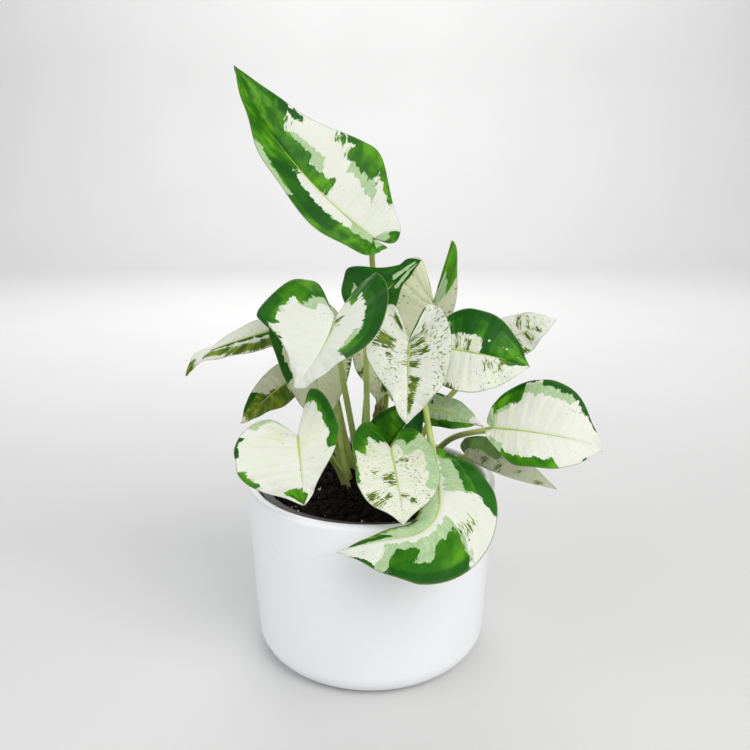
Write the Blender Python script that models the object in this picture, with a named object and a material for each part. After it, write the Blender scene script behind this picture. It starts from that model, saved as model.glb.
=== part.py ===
"""Potted pothos: a white cover pot, the grower's pot inside it, soil, vine stems, leaf stalks and blades.

Lengths here are millimetres and angles are degrees. The pot stands on z = 0 with its axis on Z, and the
plant leans and spreads mostly towards -Y, its front. Each blade is one flat heart outline that is folded
along its midrib, cupped, bent and twisted, and then set between the point where its stalk meets it and
the point of its tip.
"""

import math
from dataclasses import dataclass

import bmesh
import bpy
import numpy as np
from mathutils import Vector

MM = 0.001
GAP = 0.3                     # between pieces that touch

# cover pot
POT_RADIUS = 68.0             # outside, at the rim
POT_HEIGHT = 97.0
POT_TAPER = 5.0               # how much smaller the outside radius is at the foot
POT_WALL = 5.5
POT_FLOOR = 7.0
POT_FOOT_CORNER = 13.0        # rounding between wall and underside
POT_INNER_CORNER = 8.0
POT_RIM_ROUNDING = 2.0
POT_SEGMENTS = 48

# grower's pot
GROW_POT_SIDE_GAP = 1.2       # from its lip to the cover pot's wall
GROW_POT_BELOW_RIM = 2.5
GROW_POT_LIP_HEIGHT = 4.0
GROW_POT_LIP_WIDTH = 3.0
GROW_POT_WALL = 1.4
GROW_POT_TAPER = 10.0         # from below the lip to the base
GROW_POT_SEGMENTS = 36
DRAIN_HOLES = 6
DRAIN_HOLE_RADIUS = 4.5
DRAIN_CIRCLE = 0.6            # of the base's radius

SOIL_BELOW_RIM = 9.0

# stems and stalks
STEM_RADIUS = 2.8
NODE_RADIUS = 3.7             # at the swollen ring where a stalk leaves
STEM_SIDES = 8
STALK_RADIUS = 1.9            # where it leaves the stem
STALK_TIP_SHARE = 0.75        # of that radius, where it meets the blade
STALK_STEPS = 8
STALK_CLEARANCE = 2.3         # between a stalk's end and its blade

# blades
LEAF_THICKNESS = 0.8
ROWS = 11                     # side veins of each half
COLUMNS = 4                   # points along each vein
LOBE_SHARE = 0.30             # of the margin lies behind the stalk
LEAF_OUTLINE = (              # right half: share of the half width, share of the midrib
    (0.0, 0.0), (0.10, -0.10), (0.34, -0.20), (0.66, -0.17), (0.90, -0.02), (1.0, 0.16),
    (0.95, 0.36), (0.76, 0.57), (0.48, 0.76), (0.22, 0.89), (0.07, 0.965), (0.0, 1.0))
OUTLINE_LOBE = 0.20           # how far the outline above reaches behind the stalk


@dataclass
class Leaf:
    """A blade and its stalk; places are from the centre of the rim, and pairs are (left, right)."""

    name: str
    base: tuple               # where the stalk meets the blade
    tip: tuple
    width: float              # as a share of the midrib
    lobe: tuple = (0.2, 0.2)  # reach behind the stalk, as a share of the midrib
    turn: float = 0.0         # about the line from base to tip
    fold: tuple = (10, 10)    # of each half up from the midrib
    cup: tuple = (10, 10)     # further rise towards the margin
    lobe_curl: tuple = (0, 0)
    lobe_lift: tuple = (0, 0)
    droop: float = 20.0       # bend of the midrib over its length
    tip_droop: float = 10.0
    side_bend: float = 0.0
    bend_span: tuple = (0, 1)  # shares of the midrib where the side bend starts and ends
    lean: float = 0.0         # share by which the right half is wider
    slim: tuple = (0, 0)      # narrowing towards the tip
    neck: tuple = (0, 0)      # narrowing towards the stalk
    root: tuple = (0, 0)      # of the stalk, seen from above
    root_height: float = 0.0  # above the soil
    leave: tuple = (0, 0, 1)  # the stalk's direction at its root
    arrive: tuple = (0, 0, 1)
    reach: tuple = (0.4, 0.35)


def at_front(x, inside, above):
    """A place measured from the front of the rim, for what lies over it."""
    return (x, inside - POT_RADIUS, above)


LEAVES = (
    Leaf("top", base=(1, -6, 129), tip=(-63, -16, 208), width=0.62, slim=(0.2, 0.2), neck=(0.4, 0.4),
         lobe=(0.05, 0.1), lobe_curl=(50, 80), lobe_lift=(5, 10), turn=-50, fold=(12, 24), cup=(5, 5),
         droop=-10, tip_droop=-6, side_bend=-28, lean=0.14,
         root=(5, 27), root_height=43.5, leave=(0, 0.08, 1), arrive=(0, -0.4, 0.92), reach=(0.62, 0.3)),
    Leaf("front_left", base=(-16.5, -42, 94), tip=(-34, -62, 66), width=1.64, slim=(0.22, 0.3),
         neck=(0, -0.12), lobe=(0.58, 0.66), turn=-4, fold=(8, 10), cup=(8, 6), droop=12,
         tip_droop=6, side_bend=-45, lean=0.08,
         root=(-7, 21), leave=(-0.1, -0.35, 1), arrive=(0, -0.6, 0.8)),
    Leaf("dark_back_left", base=(-3, -12, 91), tip=(25, -14, 118.5), width=0.95, slim=(0.5, 0.6),
         lobe=(0.1, 0.1), turn=62, fold=(5, 5), cup=(0, 0), lean=-0.25,
         root=(-2, 12), leave=(0, -0.35, 1), arrive=(0, -0.2, 1), reach=(0.4, 0.3)),
    Leaf("front_centre", base=(18.3, -40, 82.7), tip=(16.8, -58, 47.7), width=1.04, slim=(0, 0.4),
         lobe=(0.5, 0.46), lobe_lift=(0, 10), lobe_curl=(0, 30), fold=(10, 10), cup=(5, 5),
         root=(10, 17), root_height=19, leave=(0.2, -0.2, 1), arrive=(0, -0.7, 0.7)),
    Leaf("back_centre", base=(33, 3, 95), tip=(30, -7, 62), width=1.15, lobe=(0.95, 0.7), turn=6,
         fold=(12, 0), cup=(20, 0), lean=0.32,
         root=(15, 35), root_height=24, leave=(0.2, -0.1, 1), arrive=(0, -0.5, 0.8)),
    Leaf("right_upper", base=(39, -24, 76), tip=(79, -26, 67), width=1.04, slim=(-0.15, 0),
         lobe=(0.15, 0.15), turn=60, fold=(5, 0), cup=(10, 5),
         root=(20, 28), leave=(0.3, -0.1, 1), arrive=(0.5, -0.3, 0.8)),
    Leaf("right_back", base=(72, 22, 68), tip=(102, 20, 83), width=0.8, turn=50, fold=(5, 5),
         cup=(0, 0),
         root=(25, 36), leave=(0.2, 0, 1), arrive=(0.6, 0, 0.7)),
    Leaf("right_front", base=(63, -26, 35), tip=(116, -34, 26), width=0.8, slim=(-0.38, -0.25),
         neck=(0.2, 0.45), lobe=(0.05, 0.05), turn=52, fold=(5, 5), cup=(10, 10), droop=40,
         tip_droop=20, lean=-0.14,
         root=(29, 26), leave=(0.6, -0.2, 0.8), arrive=(0.8, -0.2, 0.2)),
    Leaf("right_low", base=(52, -4, 12), tip=(100, -12, -4), width=0.62, lobe=(0.1, 0.1),
         fold=(45, 80), droop=-30,
         root=(32, 17), leave=(0.6, -0.2, 0.8), arrive=(0.8, -0.2, 0.1), reach=(0.3, 0.3)),
    Leaf("right_inner", base=(27, -18, 44), tip=(58, -20, 34), width=0.58, lobe=(0.1, 0.1), turn=40,
         fold=(5, -60),
         root=(17, 13), leave=(0.3, -0.2, 1), arrive=(0.6, -0.2, 0.7)),
    Leaf("low_centre", base=at_front(10, 18, 32), tip=at_front(15, -8, 5.5), width=1.05,
         slim=(-0.3, -0.3), lobe=(0.3, 0.42), lobe_lift=(0, 10), fold=(5, 5), cup=(10, 10),
         root=(-3, 5), leave=(0, -0.4, 1), arrive=(0.4, -0.9, 0.4), reach=(0.4, 0.4)),
    Leaf("over_rim", base=at_front(31, 20, 27), tip=at_front(-15, -12, -6), width=0.43,
         slim=(-0.3, 0), neck=(0.3, -0.3), lobe=(0.02, 0.02), turn=-38, fold=(5, -15), side_bend=-85,
         bend_span=(0.25, 0.6), lean=-0.5,
         root=(23, 4), leave=(0.05, -0.1, 1), arrive=(0.15, -0.65, -0.75), reach=(1.45, 0.9)),
    Leaf("low_left", base=(-34.5, -50, 38.3), tip=(-31, -62, 9), width=1.5, slim=(0.35, -0.2),
         neck=(-0.12, 0), lobe=(0.7, 0.3), lobe_lift=(10, 0), turn=8, fold=(12, 0), cup=(10, 5), lean=0.25,
         root=(-14, 2), leave=(-0.3, -0.4, 1), arrive=(-0.3, -0.8, 0.4)),
    Leaf("far_left", base=(-48, 4, 81), tip=(-96, -10, 58), width=0.38, lobe=(0.14, 0.14), turn=-8,
         fold=(-40, 12), droop=10, tip_droop=45,
         root=(-11, 31), leave=(-0.3, 0, 1), arrive=(-0.9, -0.3, 0.3)),
    Leaf("left_under", base=(-42, 16, 52), tip=(-72, 6, 27), width=0.55, turn=-50,
         root=(-16, 25), leave=(-0.4, -0.1, 1), arrive=(-0.8, -0.1, 0.3)),
    Leaf("left_hanging", base=(-35, 6, 83), tip=(-26, -12, 31), width=0.8, fold=(5, 5),
         root=(-13, 12), leave=(-0.2, -0.1, 1), arrive=(-0.5, -0.3, 0.8)),
    Leaf("middle_back", base=(1, 14, 80), tip=(4, 6, 39), width=0.75, fold=(5, 5),
         root=(-5, 37), leave=(0, -0.1, 1), arrive=(0, -0.5, 0.8), reach=(0.4, 0.3)),
    Leaf("dark_centre", base=(10, -19, 22), tip=(27, -23, 48), width=1.0, lobe=(0.1, 0.1), turn=70,
         root=(12, 4), leave=(0, -0.2, 1), arrive=(0.5, -0.4, 0.6), reach=(0.4, 0.3)),
    Leaf("small_back", base=(10, 22, 56), tip=(12, 16, 37), width=0.8,
         root=(7, 44), leave=(0, -0.1, 1), arrive=(0, -0.5, 0.8), reach=(0.4, 0.3)),
)

# name, foot and top seen from above, height above the soil
STEMS = (
    ("tall", (2, 30), (5, 27), 42.0),
    ("back", (14, 38), (15, 35), 22.5),
    ("front", (10, 20), (10, 17), 17.5),
)
STEM_NODES = (0.35, 0.8)      # swollen rings, as shares of the stem's height

CERAMIC = ((0.86, 0.86, 0.87), 0.25, 0.0)
BLACK_PLASTIC = ((0.02, 0.02, 0.02), 0.5, 0.0)
SOIL = ((0.03, 0.022, 0.018), 0.95, 0.0)
STEM = ((0.25, 0.24, 0.10), 0.6, 0.0)
STALK = ((0.42, 0.52, 0.20), 0.5, 0.0)
BLADE = ((0.55, 0.66, 0.42), 0.4, 0.0)


def soil_top():
    """Height of the soil's surface."""
    return POT_HEIGHT - SOIL_BELOW_RIM


def pot_outer_radius(z):
    """Outside radius of the cover pot at height z."""
    return POT_RADIUS - POT_TAPER * (1 - z / POT_HEIGHT)


def arc(centre, radius, start, end, steps):
    """Points (r, z) along an arc, from one angle to another."""
    angles = [math.radians(start + (end - start) * i / steps) for i in range(steps + 1)]
    return [(centre[0] + radius * math.cos(a), centre[1] + radius * math.sin(a)) for a in angles]


def remove_start_objects():
    """Empty the scene."""
    for item in list(bpy.data.objects):
        bpy.data.objects.remove(item, do_unlink=True)


def material(name, look):
    """A Principled material from (colour, roughness, metallic)."""
    colour, roughness, metallic = look
    made = bpy.data.materials.new(name)
    made.use_nodes = True
    shader = made.node_tree.nodes["Principled BSDF"]
    shader.inputs["Base Color"].default_value = (*colour, 1.0)
    shader.inputs["Roughness"].default_value = roughness
    shader.inputs["Metallic"].default_value = metallic
    return made


def add_object(name, data, look):
    """Link an object with its own material."""
    data.materials.append(material(name, look))
    item = bpy.data.objects.new(name, data)
    bpy.context.scene.collection.objects.link(item)
    return item


def turned(name, profile, segments, look):
    """A body turned about Z from (r, z) points that start on the axis, rise inside and end on the axis."""
    mesh = bpy.data.meshes.new(name)
    points = [(r * MM, 0.0, z * MM) for r, z in profile]
    mesh.from_pydata(points, [(i, i + 1) for i in range(len(points) - 1)], [])
    item = add_object(name, mesh, look)
    screw = item.modifiers.new("turn", "SCREW")
    screw.steps = segments
    screw.render_steps = segments
    screw.use_merge_vertices = True
    screw.merge_threshold = 0.0001
    screw.use_smooth_shade = True
    return item


def make_pot():
    """The cover pot: thick wall, rounded rim, rounded foot and a flat underside."""
    inner_low = pot_outer_radius(POT_FLOOR) - POT_WALL
    foot = pot_outer_radius(POT_FOOT_CORNER)
    rim_in = POT_RADIUS - POT_WALL
    rounding = POT_RIM_ROUNDING
    profile = [(0.0, POT_FLOOR)]
    profile += arc((inner_low - POT_INNER_CORNER, POT_FLOOR + POT_INNER_CORNER), POT_INNER_CORNER, -90, 0, 4)
    profile += arc((rim_in + rounding, POT_HEIGHT - rounding), rounding, 180, 90, 3)
    profile += arc((POT_RADIUS - rounding, POT_HEIGHT - rounding), rounding, 90, 0, 3)
    profile += arc((foot - POT_FOOT_CORNER, POT_FOOT_CORNER), POT_FOOT_CORNER, 0, -90, 6)
    profile += [(0.0, 0.0)]
    return turned("pot", profile, POT_SEGMENTS, CERAMIC)


def grow_pot_sizes():
    """Radii and heights of the grower's pot that its soil shares."""
    top = POT_HEIGHT - GROW_POT_BELOW_RIM
    lip = pot_outer_radius(top) - POT_WALL - GROW_POT_SIDE_GAP
    wall_top = lip - GROW_POT_LIP_WIDTH
    wall_low = wall_top - GROW_POT_TAPER
    bottom = POT_FLOOR + GAP
    return top, lip, wall_top, wall_low, bottom


def make_grow_pot():
    """The grower's pot: a thin tapered cup with a folded lip and drain holes."""
    top, lip, wall_top, wall_low, bottom = grow_pot_sizes()
    under_lip = top - GROW_POT_LIP_HEIGHT
    profile = [
        (0.0, bottom + GROW_POT_WALL),
        (wall_low - GROW_POT_WALL, bottom + GROW_POT_WALL),
        (wall_top - GROW_POT_WALL, top),
        (lip, top),
        (lip, under_lip),
        (wall_top, under_lip),
        (wall_low, bottom),
        (0.0, bottom),
    ]
    pot = turned("grow_pot", profile, GROW_POT_SEGMENTS, BLACK_PLASTIC)
    cut = pot.modifiers.new("drain holes", "BOOLEAN")
    cut.operation = "DIFFERENCE"
    cut.object = drain_hole_cutter(wall_low * DRAIN_CIRCLE, bottom)
    return pot


def drain_hole_cutter(circle, height):
    """Short cylinders through the grower's pot's base."""
    mesh = bpy.data.meshes.new("drain_cutter")
    shape = bmesh.new()
    for i in range(DRAIN_HOLES):
        angle = 2 * math.pi * i / DRAIN_HOLES
        centre = Vector((circle * math.cos(angle), circle * math.sin(angle), height)) * MM
        made = bmesh.ops.create_cone(
            shape, cap_ends=True, segments=12, radius1=DRAIN_HOLE_RADIUS * MM,
            radius2=DRAIN_HOLE_RADIUS * MM, depth=4 * GROW_POT_WALL * MM)
        bmesh.ops.translate(shape, verts=made["verts"], vec=centre)
    shape.to_mesh(mesh)
    shape.free()
    cutter = bpy.data.objects.new("drain_cutter", mesh)
    bpy.context.scene.collection.objects.link(cutter)
    cutter.hide_render = True
    cutter.display_type = "WIRE"
    return cutter


def make_soil():
    """The root ball: it fills the grower's pot up to its surface."""
    top, lip, wall_top, wall_low, bottom = grow_pot_sizes()
    floor = bottom + GROW_POT_WALL
    slope = (wall_top - wall_low) / (top - floor)
    low = wall_low - GROW_POT_WALL - GAP
    high = low + slope * (soil_top() - floor)
    profile = [(0.0, soil_top()), (high, soil_top()), (low, floor + GAP), (0.0, floor + GAP)]
    return turned("soil", profile, GROW_POT_SEGMENTS, SOIL)


def make_stem(name, foot, top, height):
    """A vine stem: a slightly leaning rod with swollen rings at its nodes."""
    profile = [(0.0, STEM_RADIUS)]
    for share in STEM_NODES:
        profile += [(share - 0.08, STEM_RADIUS), (share, NODE_RADIUS), (share + 0.08, STEM_RADIUS)]
    profile += [(1.0, STEM_RADIUS * 0.9)]
    angles = np.linspace(0, 2 * math.pi, STEM_SIDES, endpoint=False)
    rings = []
    for share, radius in profile:
        x = foot[0] + (top[0] - foot[0]) * share + radius * np.cos(angles)
        y = foot[1] + (top[1] - foot[1]) * share + radius * np.sin(angles)
        z = np.full(STEM_SIDES, soil_top() + GAP + (height - GAP) * share)
        rings.append(np.stack([x, y, z], axis=1))
    return loft("stem_" + name, rings, STEM)


def loft(name, rings, look):
    """A closed tube through rings of points, with flat ends."""
    sides = len(rings[0])
    points = np.concatenate(rings) * MM
    faces = [tuple(reversed(range(sides)))]
    for ring in range(len(rings) - 1):
        start = ring * sides
        for i in range(sides):
            j = (i + 1) % sides
            faces.append((start + i, start + j, start + j + sides, start + i + sides))
    faces.append(tuple(range((len(rings) - 1) * sides, len(rings) * sides)))
    mesh = bpy.data.meshes.new(name)
    mesh.from_pydata([tuple(p) for p in points], [], faces)
    mesh.shade_smooth()
    return add_object(name, mesh, look)


def unit(v):
    """The direction of a vector."""
    v = np.asarray(v, dtype=float)
    return v / np.linalg.norm(v)


def ease(x):
    """Smooth step from 0 to 1."""
    x = np.clip(x, 0.0, 1.0)
    return x * x * (3 - 2 * x)


def rotation(axis, angle):
    """Rotation matrices about one axis for an array of angles."""
    c, s, one, nil = np.cos(angle), np.sin(angle), np.ones_like(angle), np.zeros_like(angle)
    rows = {
        "x": [[one, nil, nil], [nil, c, -s], [nil, s, c]],
        "y": [[c, nil, s], [nil, one, nil], [-s, nil, c]],
        "z": [[c, -s, nil], [s, c, nil], [nil, nil, one]],
    }[axis]
    return np.moveaxis(np.array(rows), (0, 1), (-2, -1))


def outline(count):
    """The margin of the right half as a smooth curve, with points evenly spaced along it."""
    knots = np.array(LEAF_OUTLINE)
    steps = np.linalg.norm(np.diff(knots, axis=0), axis=1)
    place = np.concatenate([[0.0], np.cumsum(steps)])
    slope = np.gradient(knots, place, axis=0)
    fine = np.linspace(0.0, place[-1], 400)
    k = np.clip(np.searchsorted(place, fine, side="right") - 1, 0, len(place) - 2)
    span = (place[k + 1] - place[k])[:, None]
    w = (fine - place[k])[:, None] / span
    curve = ((2 * w**3 - 3 * w**2 + 1) * knots[k] + (w**3 - 2 * w**2 + w) * span * slope[k]
             + (3 * w**2 - 2 * w**3) * knots[k + 1] + (w**3 - w**2) * span * slope[k + 1])
    length = np.concatenate([[0.0], np.cumsum(np.linalg.norm(np.diff(curve, axis=0), axis=1))])
    even = np.linspace(0.0, length[-1], count)
    return np.stack([np.interp(even, length, curve[:, i]) for i in range(2)], axis=1)


def flat_half(leaf, side, rows, columns):
    """One half laid flat on a midrib of length 1: curved side veins run from the midrib to the margin."""
    half = leaf.width / 2 * (1 + (leaf.lean if side else -leaf.lean))
    margin = outline(rows + 1)[1:]
    s = np.linspace(0.0, 1.0, rows + 1)[1:, None]
    t = np.linspace(0.0, 1.0, columns)[None, :]
    edge_x = margin[:, :1] * half
    edge_y = margin[:, 1:] - (leaf.lobe[side] - OUTLINE_LOBE) * ease(s / 0.2) * (1 - ease((s - 0.25) / 0.4))
    rib_y = np.clip((s - LOBE_SHARE) / (1 - LOBE_SHARE), 0, 1) ** 1.25
    bend_y = np.where(s < LOBE_SHARE, 0.5 * edge_y, rib_y + 0.28 * (edge_y - rib_y) - 0.02 * (1 - s))
    x = 2 * t * (1 - t) * 0.55 * edge_x + t * t * edge_x
    y = (1 - t) ** 2 * rib_y + 2 * t * (1 - t) * bend_y + t * t * edge_y
    x = x * (1 - leaf.slim[side] * ease((y - 0.2) / 0.5) * (1 - ease((y - 0.75) / 0.25)))
    x = x * (1 - leaf.neck[side] * (1 - ease((y + 0.1) / 0.4)))
    return x, y, s, t


def half_points(leaf, side, rows, columns):
    """One half, folded and bent, on a midrib that starts at the origin along +Y."""
    x, y, s, t = flat_half(leaf, side, rows, columns)
    half = leaf.width / 2 * (1 + (leaf.lean if side else -leaf.lean))
    rise = (leaf.fold[side] + leaf.cup[side] * x / half
            + leaf.lobe_curl[side] * np.exp(-((s / 0.22) ** 2)) * t)
    rise = np.radians(rise)
    step = np.diff(x, axis=1, prepend=0.0)
    middle = rise.copy()
    middle[:, 1:] = (rise[:, 1:] + rise[:, :-1]) / 2
    across = np.cumsum(np.cos(middle) * step, axis=1)
    up = np.cumsum(np.sin(middle) * step, axis=1)

    along = np.linspace(-1.3, 1.05, 470)
    ahead, behind = np.clip(along, 0, None), np.clip(-along, 0, None)
    pitch = (-leaf.droop * ahead - leaf.tip_droop * ease((ahead - 0.6) / 0.4)
             - leaf.lobe_lift[side] * ease(behind / max(leaf.lobe[side], 0.05)))
    start, end = leaf.bend_span
    swing = leaf.side_bend * np.clip((ahead - start) / (end - start), 0, 1)
    frames = rotation("z", np.radians(swing)) @ rotation("x", np.radians(pitch))
    tangent = frames[:, :, 1]
    walk = (tangent[1:] + tangent[:-1]) / 2 * np.diff(along)[:, None]
    line = np.concatenate([np.zeros((1, 3)), np.cumsum(walk, axis=0)])

    def read(values):
        return np.stack([np.interp(y, along, values[:, i]) for i in range(3)], axis=-1)

    origin = np.array([np.interp(0.0, along, line[:, i]) for i in range(3)])
    sign = 1 if side else -1
    return (read(line) - origin + sign * across[..., None] * read(frames[:, :, 0])
            + up[..., None] * read(frames[:, :, 2]))


def blade_halves(leaf, rows, columns):
    """Both halves in place, in millimetres."""
    halves = [half_points(leaf, side, rows, columns) for side in (0, 1)]
    tip = halves[1][-1, -1]
    chord = unit(tip)
    upright = unit(np.array([0, 0, 1.0]) - chord * chord[2])
    own = np.stack([np.cross(chord, upright), chord, upright])
    base = np.array(leaf.base) + (0, 0, POT_HEIGHT)
    reach = np.array(leaf.tip) + (0, 0, POT_HEIGHT) - base
    ahead = unit(reach)
    right = unit(np.cross(ahead, (0, 0, 1)))
    up = np.cross(right, ahead)
    turn = math.radians(leaf.turn)
    right, up = (math.cos(turn) * right - math.sin(turn) * up,
                 math.cos(turn) * up + math.sin(turn) * right)
    place = own.T @ np.stack([right, ahead, up]) * np.linalg.norm(reach) / np.linalg.norm(tip)
    return [points @ place + base for points in halves]


def make_blade(leaf):
    """The blade: two grids joined along the midrib and thickened."""
    halves = blade_halves(leaf, ROWS, COLUMNS)
    points = np.concatenate([half.reshape(-1, 3) for half in halves]) * MM
    faces = []
    for side in (0, 1):
        for row in range(ROWS - 1):
            for column in range(COLUMNS - 1):
                a = (side * ROWS + row) * COLUMNS + column
                corner = (a, a + COLUMNS, a + COLUMNS + 1, a + 1)
                faces.append(corner if side == 0 else corner[::-1])
    mesh = bpy.data.meshes.new("leaf_" + leaf.name)
    mesh.from_pydata([tuple(p) for p in points], [], faces)
    shape = bmesh.new()
    shape.from_mesh(mesh)
    bmesh.ops.remove_doubles(shape, verts=shape.verts, dist=0.02 * MM)
    bmesh.ops.dissolve_degenerate(shape, edges=shape.edges, dist=0.02 * MM)
    shape.to_mesh(mesh)
    shape.free()
    mesh.shade_smooth()
    item = add_object("leaf_" + leaf.name, mesh, BLADE)
    thicken = item.modifiers.new("thickness", "SOLIDIFY")
    thicken.thickness = LEAF_THICKNESS * MM
    thicken.offset = 0.0
    return item


def blade_underside(leaf):
    """Direction out of the blade's underside where the stalk meets it."""
    right_half = blade_halves(leaf, ROWS, COLUMNS)[1]
    left_half = blade_halves(leaf, ROWS, COLUMNS)[0]
    row = ROWS // 2
    ahead = right_half[row, 0] - right_half[0, 0]
    across = right_half[row, 1] - left_half[row, 1]
    return -unit(np.cross(across, ahead))


def stalk_route(leaf, steps):
    """Points from the stalk's root to just under its blade, on one smooth curve."""
    lean = np.linalg.norm(unit(leaf.leave)[:2])
    root = np.array((*leaf.root, soil_top() + 2 * GAP + STALK_RADIUS * lean + leaf.root_height))
    base = np.array(leaf.base) + (0, 0, POT_HEIGHT)
    end = base + blade_underside(leaf) * (LEAF_THICKNESS / 2 + STALK_CLEARANCE)
    far = np.linalg.norm(end - root)
    near_root = root + unit(leaf.leave) * far * leaf.reach[0]
    near_end = end - unit(leaf.arrive) * far * leaf.reach[1]
    t = np.linspace(0.0, 1.0, steps + 1)[:, None]
    return ((1 - t) ** 3 * root + 3 * t * (1 - t) ** 2 * near_root
            + 3 * t * t * (1 - t) * near_end + t**3 * end)


def make_stalk(leaf):
    """The leaf stalk: a tube that thins towards its blade."""
    route = stalk_route(leaf, STALK_STEPS)
    curve = bpy.data.curves.new("stalk_" + leaf.name, "CURVE")
    curve.dimensions = "3D"
    curve.bevel_depth = STALK_RADIUS * MM
    curve.bevel_resolution = 1
    curve.resolution_u = 1
    curve.render_resolution_u = 0
    curve.use_fill_caps = True
    line = curve.splines.new("POLY")
    line.points.add(len(route) - 1)
    for i, place in enumerate(route):
        line.points[i].co = (*(place * MM), 1.0)
        line.points[i].radius = 1 - (1 - STALK_TIP_SHARE) * i / STALK_STEPS
    return add_object("stalk_" + leaf.name, curve, STALK)


def main():
    """Build every piece."""
    remove_start_objects()
    make_pot()
    make_grow_pot()
    make_soil()
    for name, foot, top, height in STEMS:
        make_stem(name, foot, top, height)
    for leaf in LEAVES:
        make_stalk(leaf)
        make_blade(leaf)


main()
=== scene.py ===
"""Looks of a potted pothos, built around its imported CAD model.

The leaf blades, leaf stalks, vine stems, soil and cover pot are new surfaces that stand for their
CAD nodes; the grower's pot keeps its CAD mesh and gets a better material. Lengths are millimetres
until a mesh is made, places are measured from the centre of the cover pot's rim, and the plant's
front faces -Y.

A blade is one heart outline laid flat on a straight midrib. Its points have two parameters: s
runs along the margin from the stalk (0) round the lobe (up to 0.3) to the tip (1), and t runs
along a side vein from the midrib (0) to the margin (1). The flat halves are folded, cupped, bent
and set between base and tip.
"""

import math
from dataclasses import dataclass

import bpy
import numpy as np
from bpy.props import FloatProperty, FloatVectorProperty, IntProperty, PointerProperty
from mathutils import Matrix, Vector


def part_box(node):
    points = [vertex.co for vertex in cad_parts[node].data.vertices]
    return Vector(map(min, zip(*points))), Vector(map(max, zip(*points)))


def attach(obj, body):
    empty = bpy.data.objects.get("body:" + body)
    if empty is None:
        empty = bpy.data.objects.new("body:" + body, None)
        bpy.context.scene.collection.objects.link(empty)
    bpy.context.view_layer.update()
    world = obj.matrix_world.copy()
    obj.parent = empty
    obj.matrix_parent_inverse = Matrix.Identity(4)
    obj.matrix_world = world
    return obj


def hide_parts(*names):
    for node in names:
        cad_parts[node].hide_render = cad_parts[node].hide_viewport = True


bl_info = {
    "name": "Potted pothos",
    "version": (1, 0, 0),
    "blender": (4, 5, 0),
    "location": "View3D > Sidebar > Pothos",
    "description": "Variegated blades, stalks, stems, soil, pots and stage around the packed model",
    "category": "Object",
}

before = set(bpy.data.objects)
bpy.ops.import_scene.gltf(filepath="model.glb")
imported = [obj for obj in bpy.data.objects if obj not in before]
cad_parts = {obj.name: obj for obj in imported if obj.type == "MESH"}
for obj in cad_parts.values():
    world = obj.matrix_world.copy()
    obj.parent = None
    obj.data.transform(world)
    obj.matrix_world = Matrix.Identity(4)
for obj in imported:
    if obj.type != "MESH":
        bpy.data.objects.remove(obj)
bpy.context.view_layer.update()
MM = 0.001
BODY = "root"

POT_LOW, POT_HIGH = (np.array(corner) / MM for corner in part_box("pot"))
RIM_CENTRE = np.array([(POT_LOW[0] + POT_HIGH[0]) / 2, (POT_LOW[1] + POT_HIGH[1]) / 2, POT_HIGH[2]])
RIM_RADIUS = (POT_HIGH[0] - POT_LOW[0]) / 2
POT_HEIGHT = POT_HIGH[2] - POT_LOW[2]
SOIL_LOW, SOIL_HIGH = (np.array(corner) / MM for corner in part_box("soil"))
SOIL_TOP = SOIL_HIGH[2]
SOIL_RADIUS = (SOIL_HIGH[0] - SOIL_LOW[0]) / 2

BLADE_ROWS = 96
BLADE_COLUMNS = 27
LOBE_SHARE = 0.30             # of the margin lies behind the stalk
OUTLINE_LOBE = 0.20           # how far the outline below reaches behind the stalk
LEAF_OUTLINE = (              # right half: share of the half width, share of the midrib
    (0.0, 0.0), (0.10, -0.10), (0.34, -0.20), (0.66, -0.17), (0.90, -0.02), (1.0, 0.16),
    (0.95, 0.36), (0.76, 0.57), (0.48, 0.76), (0.22, 0.89), (0.07, 0.965), (0.0, 1.0))
LEAF_THICKNESS = 0.8
STALK_RADIUS = 1.9
STALK_TIP_SHARE = 0.75
STALK_CLEARANCE = 1.1         # from the blade's middle to the stalk's axis, so that the two meet
STALK_GAP = 0.6               # of the CAD stalk above its soil or stem
VEIN_CROWDING = 1.2           # power that crowds the points along a side vein towards the midrib
VEIN_SPACING = 1.25           # power that spaces the side veins' roots along the midrib
SIDE_VEINS = 13               # on each half
MARGIN_LENGTH = 1.35          # of a half, in lengths of the midrib
GROOVE_WIDTH = 1.1            # of the midrib's groove
MIDRIB_SPAN = (-1.3, 1.05)    # walked to find a blade's shape, in lengths of the midrib
MIDRIB_STEPS = 470
BLADE_SEED_STEP = 17.3        # between two blades' places in the noise
STALK_SEED_STEP = 9.1         # between two stalks' places in it
STALK_SIDES = 20
STALK_RINGS = 44              # from the root to the blade
SUNK_RINGS, SUNK_DEPTH = 4, 5.0  # of a stalk below its root
RIB_START = 1.5               # from the midrib's start to that of the rib under it
RIB_SHARE = 0.8               # of the midrib that the rib runs under
STEM_SIDES = 28
STEM_RINGS = 90
STEM_RADIUS = 2.8
STEM_NODES = (0.35, 0.8)      # shares of a stem's height where it swells
POT_SEGMENTS = 224
FOOT_RING = (                 # its inner edge: in from the pot's foot, and up from the floor
    (18.0, 0.0), (18.6, 0.15), (20.0, 1.0), (21.0, 1.2))
SOIL_SUNK = 0.4               # the uneven ground's middle level, below the CAD soil's top
SOIL_NOISE_SEED = 1.7
SOIL_TAPER = 0.86             # radius of the soil's underside, as a share of its top's
CRUMB_SIZES, CRUMB_SEED = (0.5, 2.2), 4
SPECK_SIZES, SPECK_SEED = (0.4, 1.1), 9
CAMERA_LENS = 36.0            # as wide as its sensor
FLOOR_REACH = 9.0             # metres, to each side and behind the camera
COVE_START, COVE_RADIUS = 1.9, 0.7
BACKDROP_TOP = 5.0
OTHER_WAY = [0, 2, 1]         # a triangle's corners in the opposite order

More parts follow.
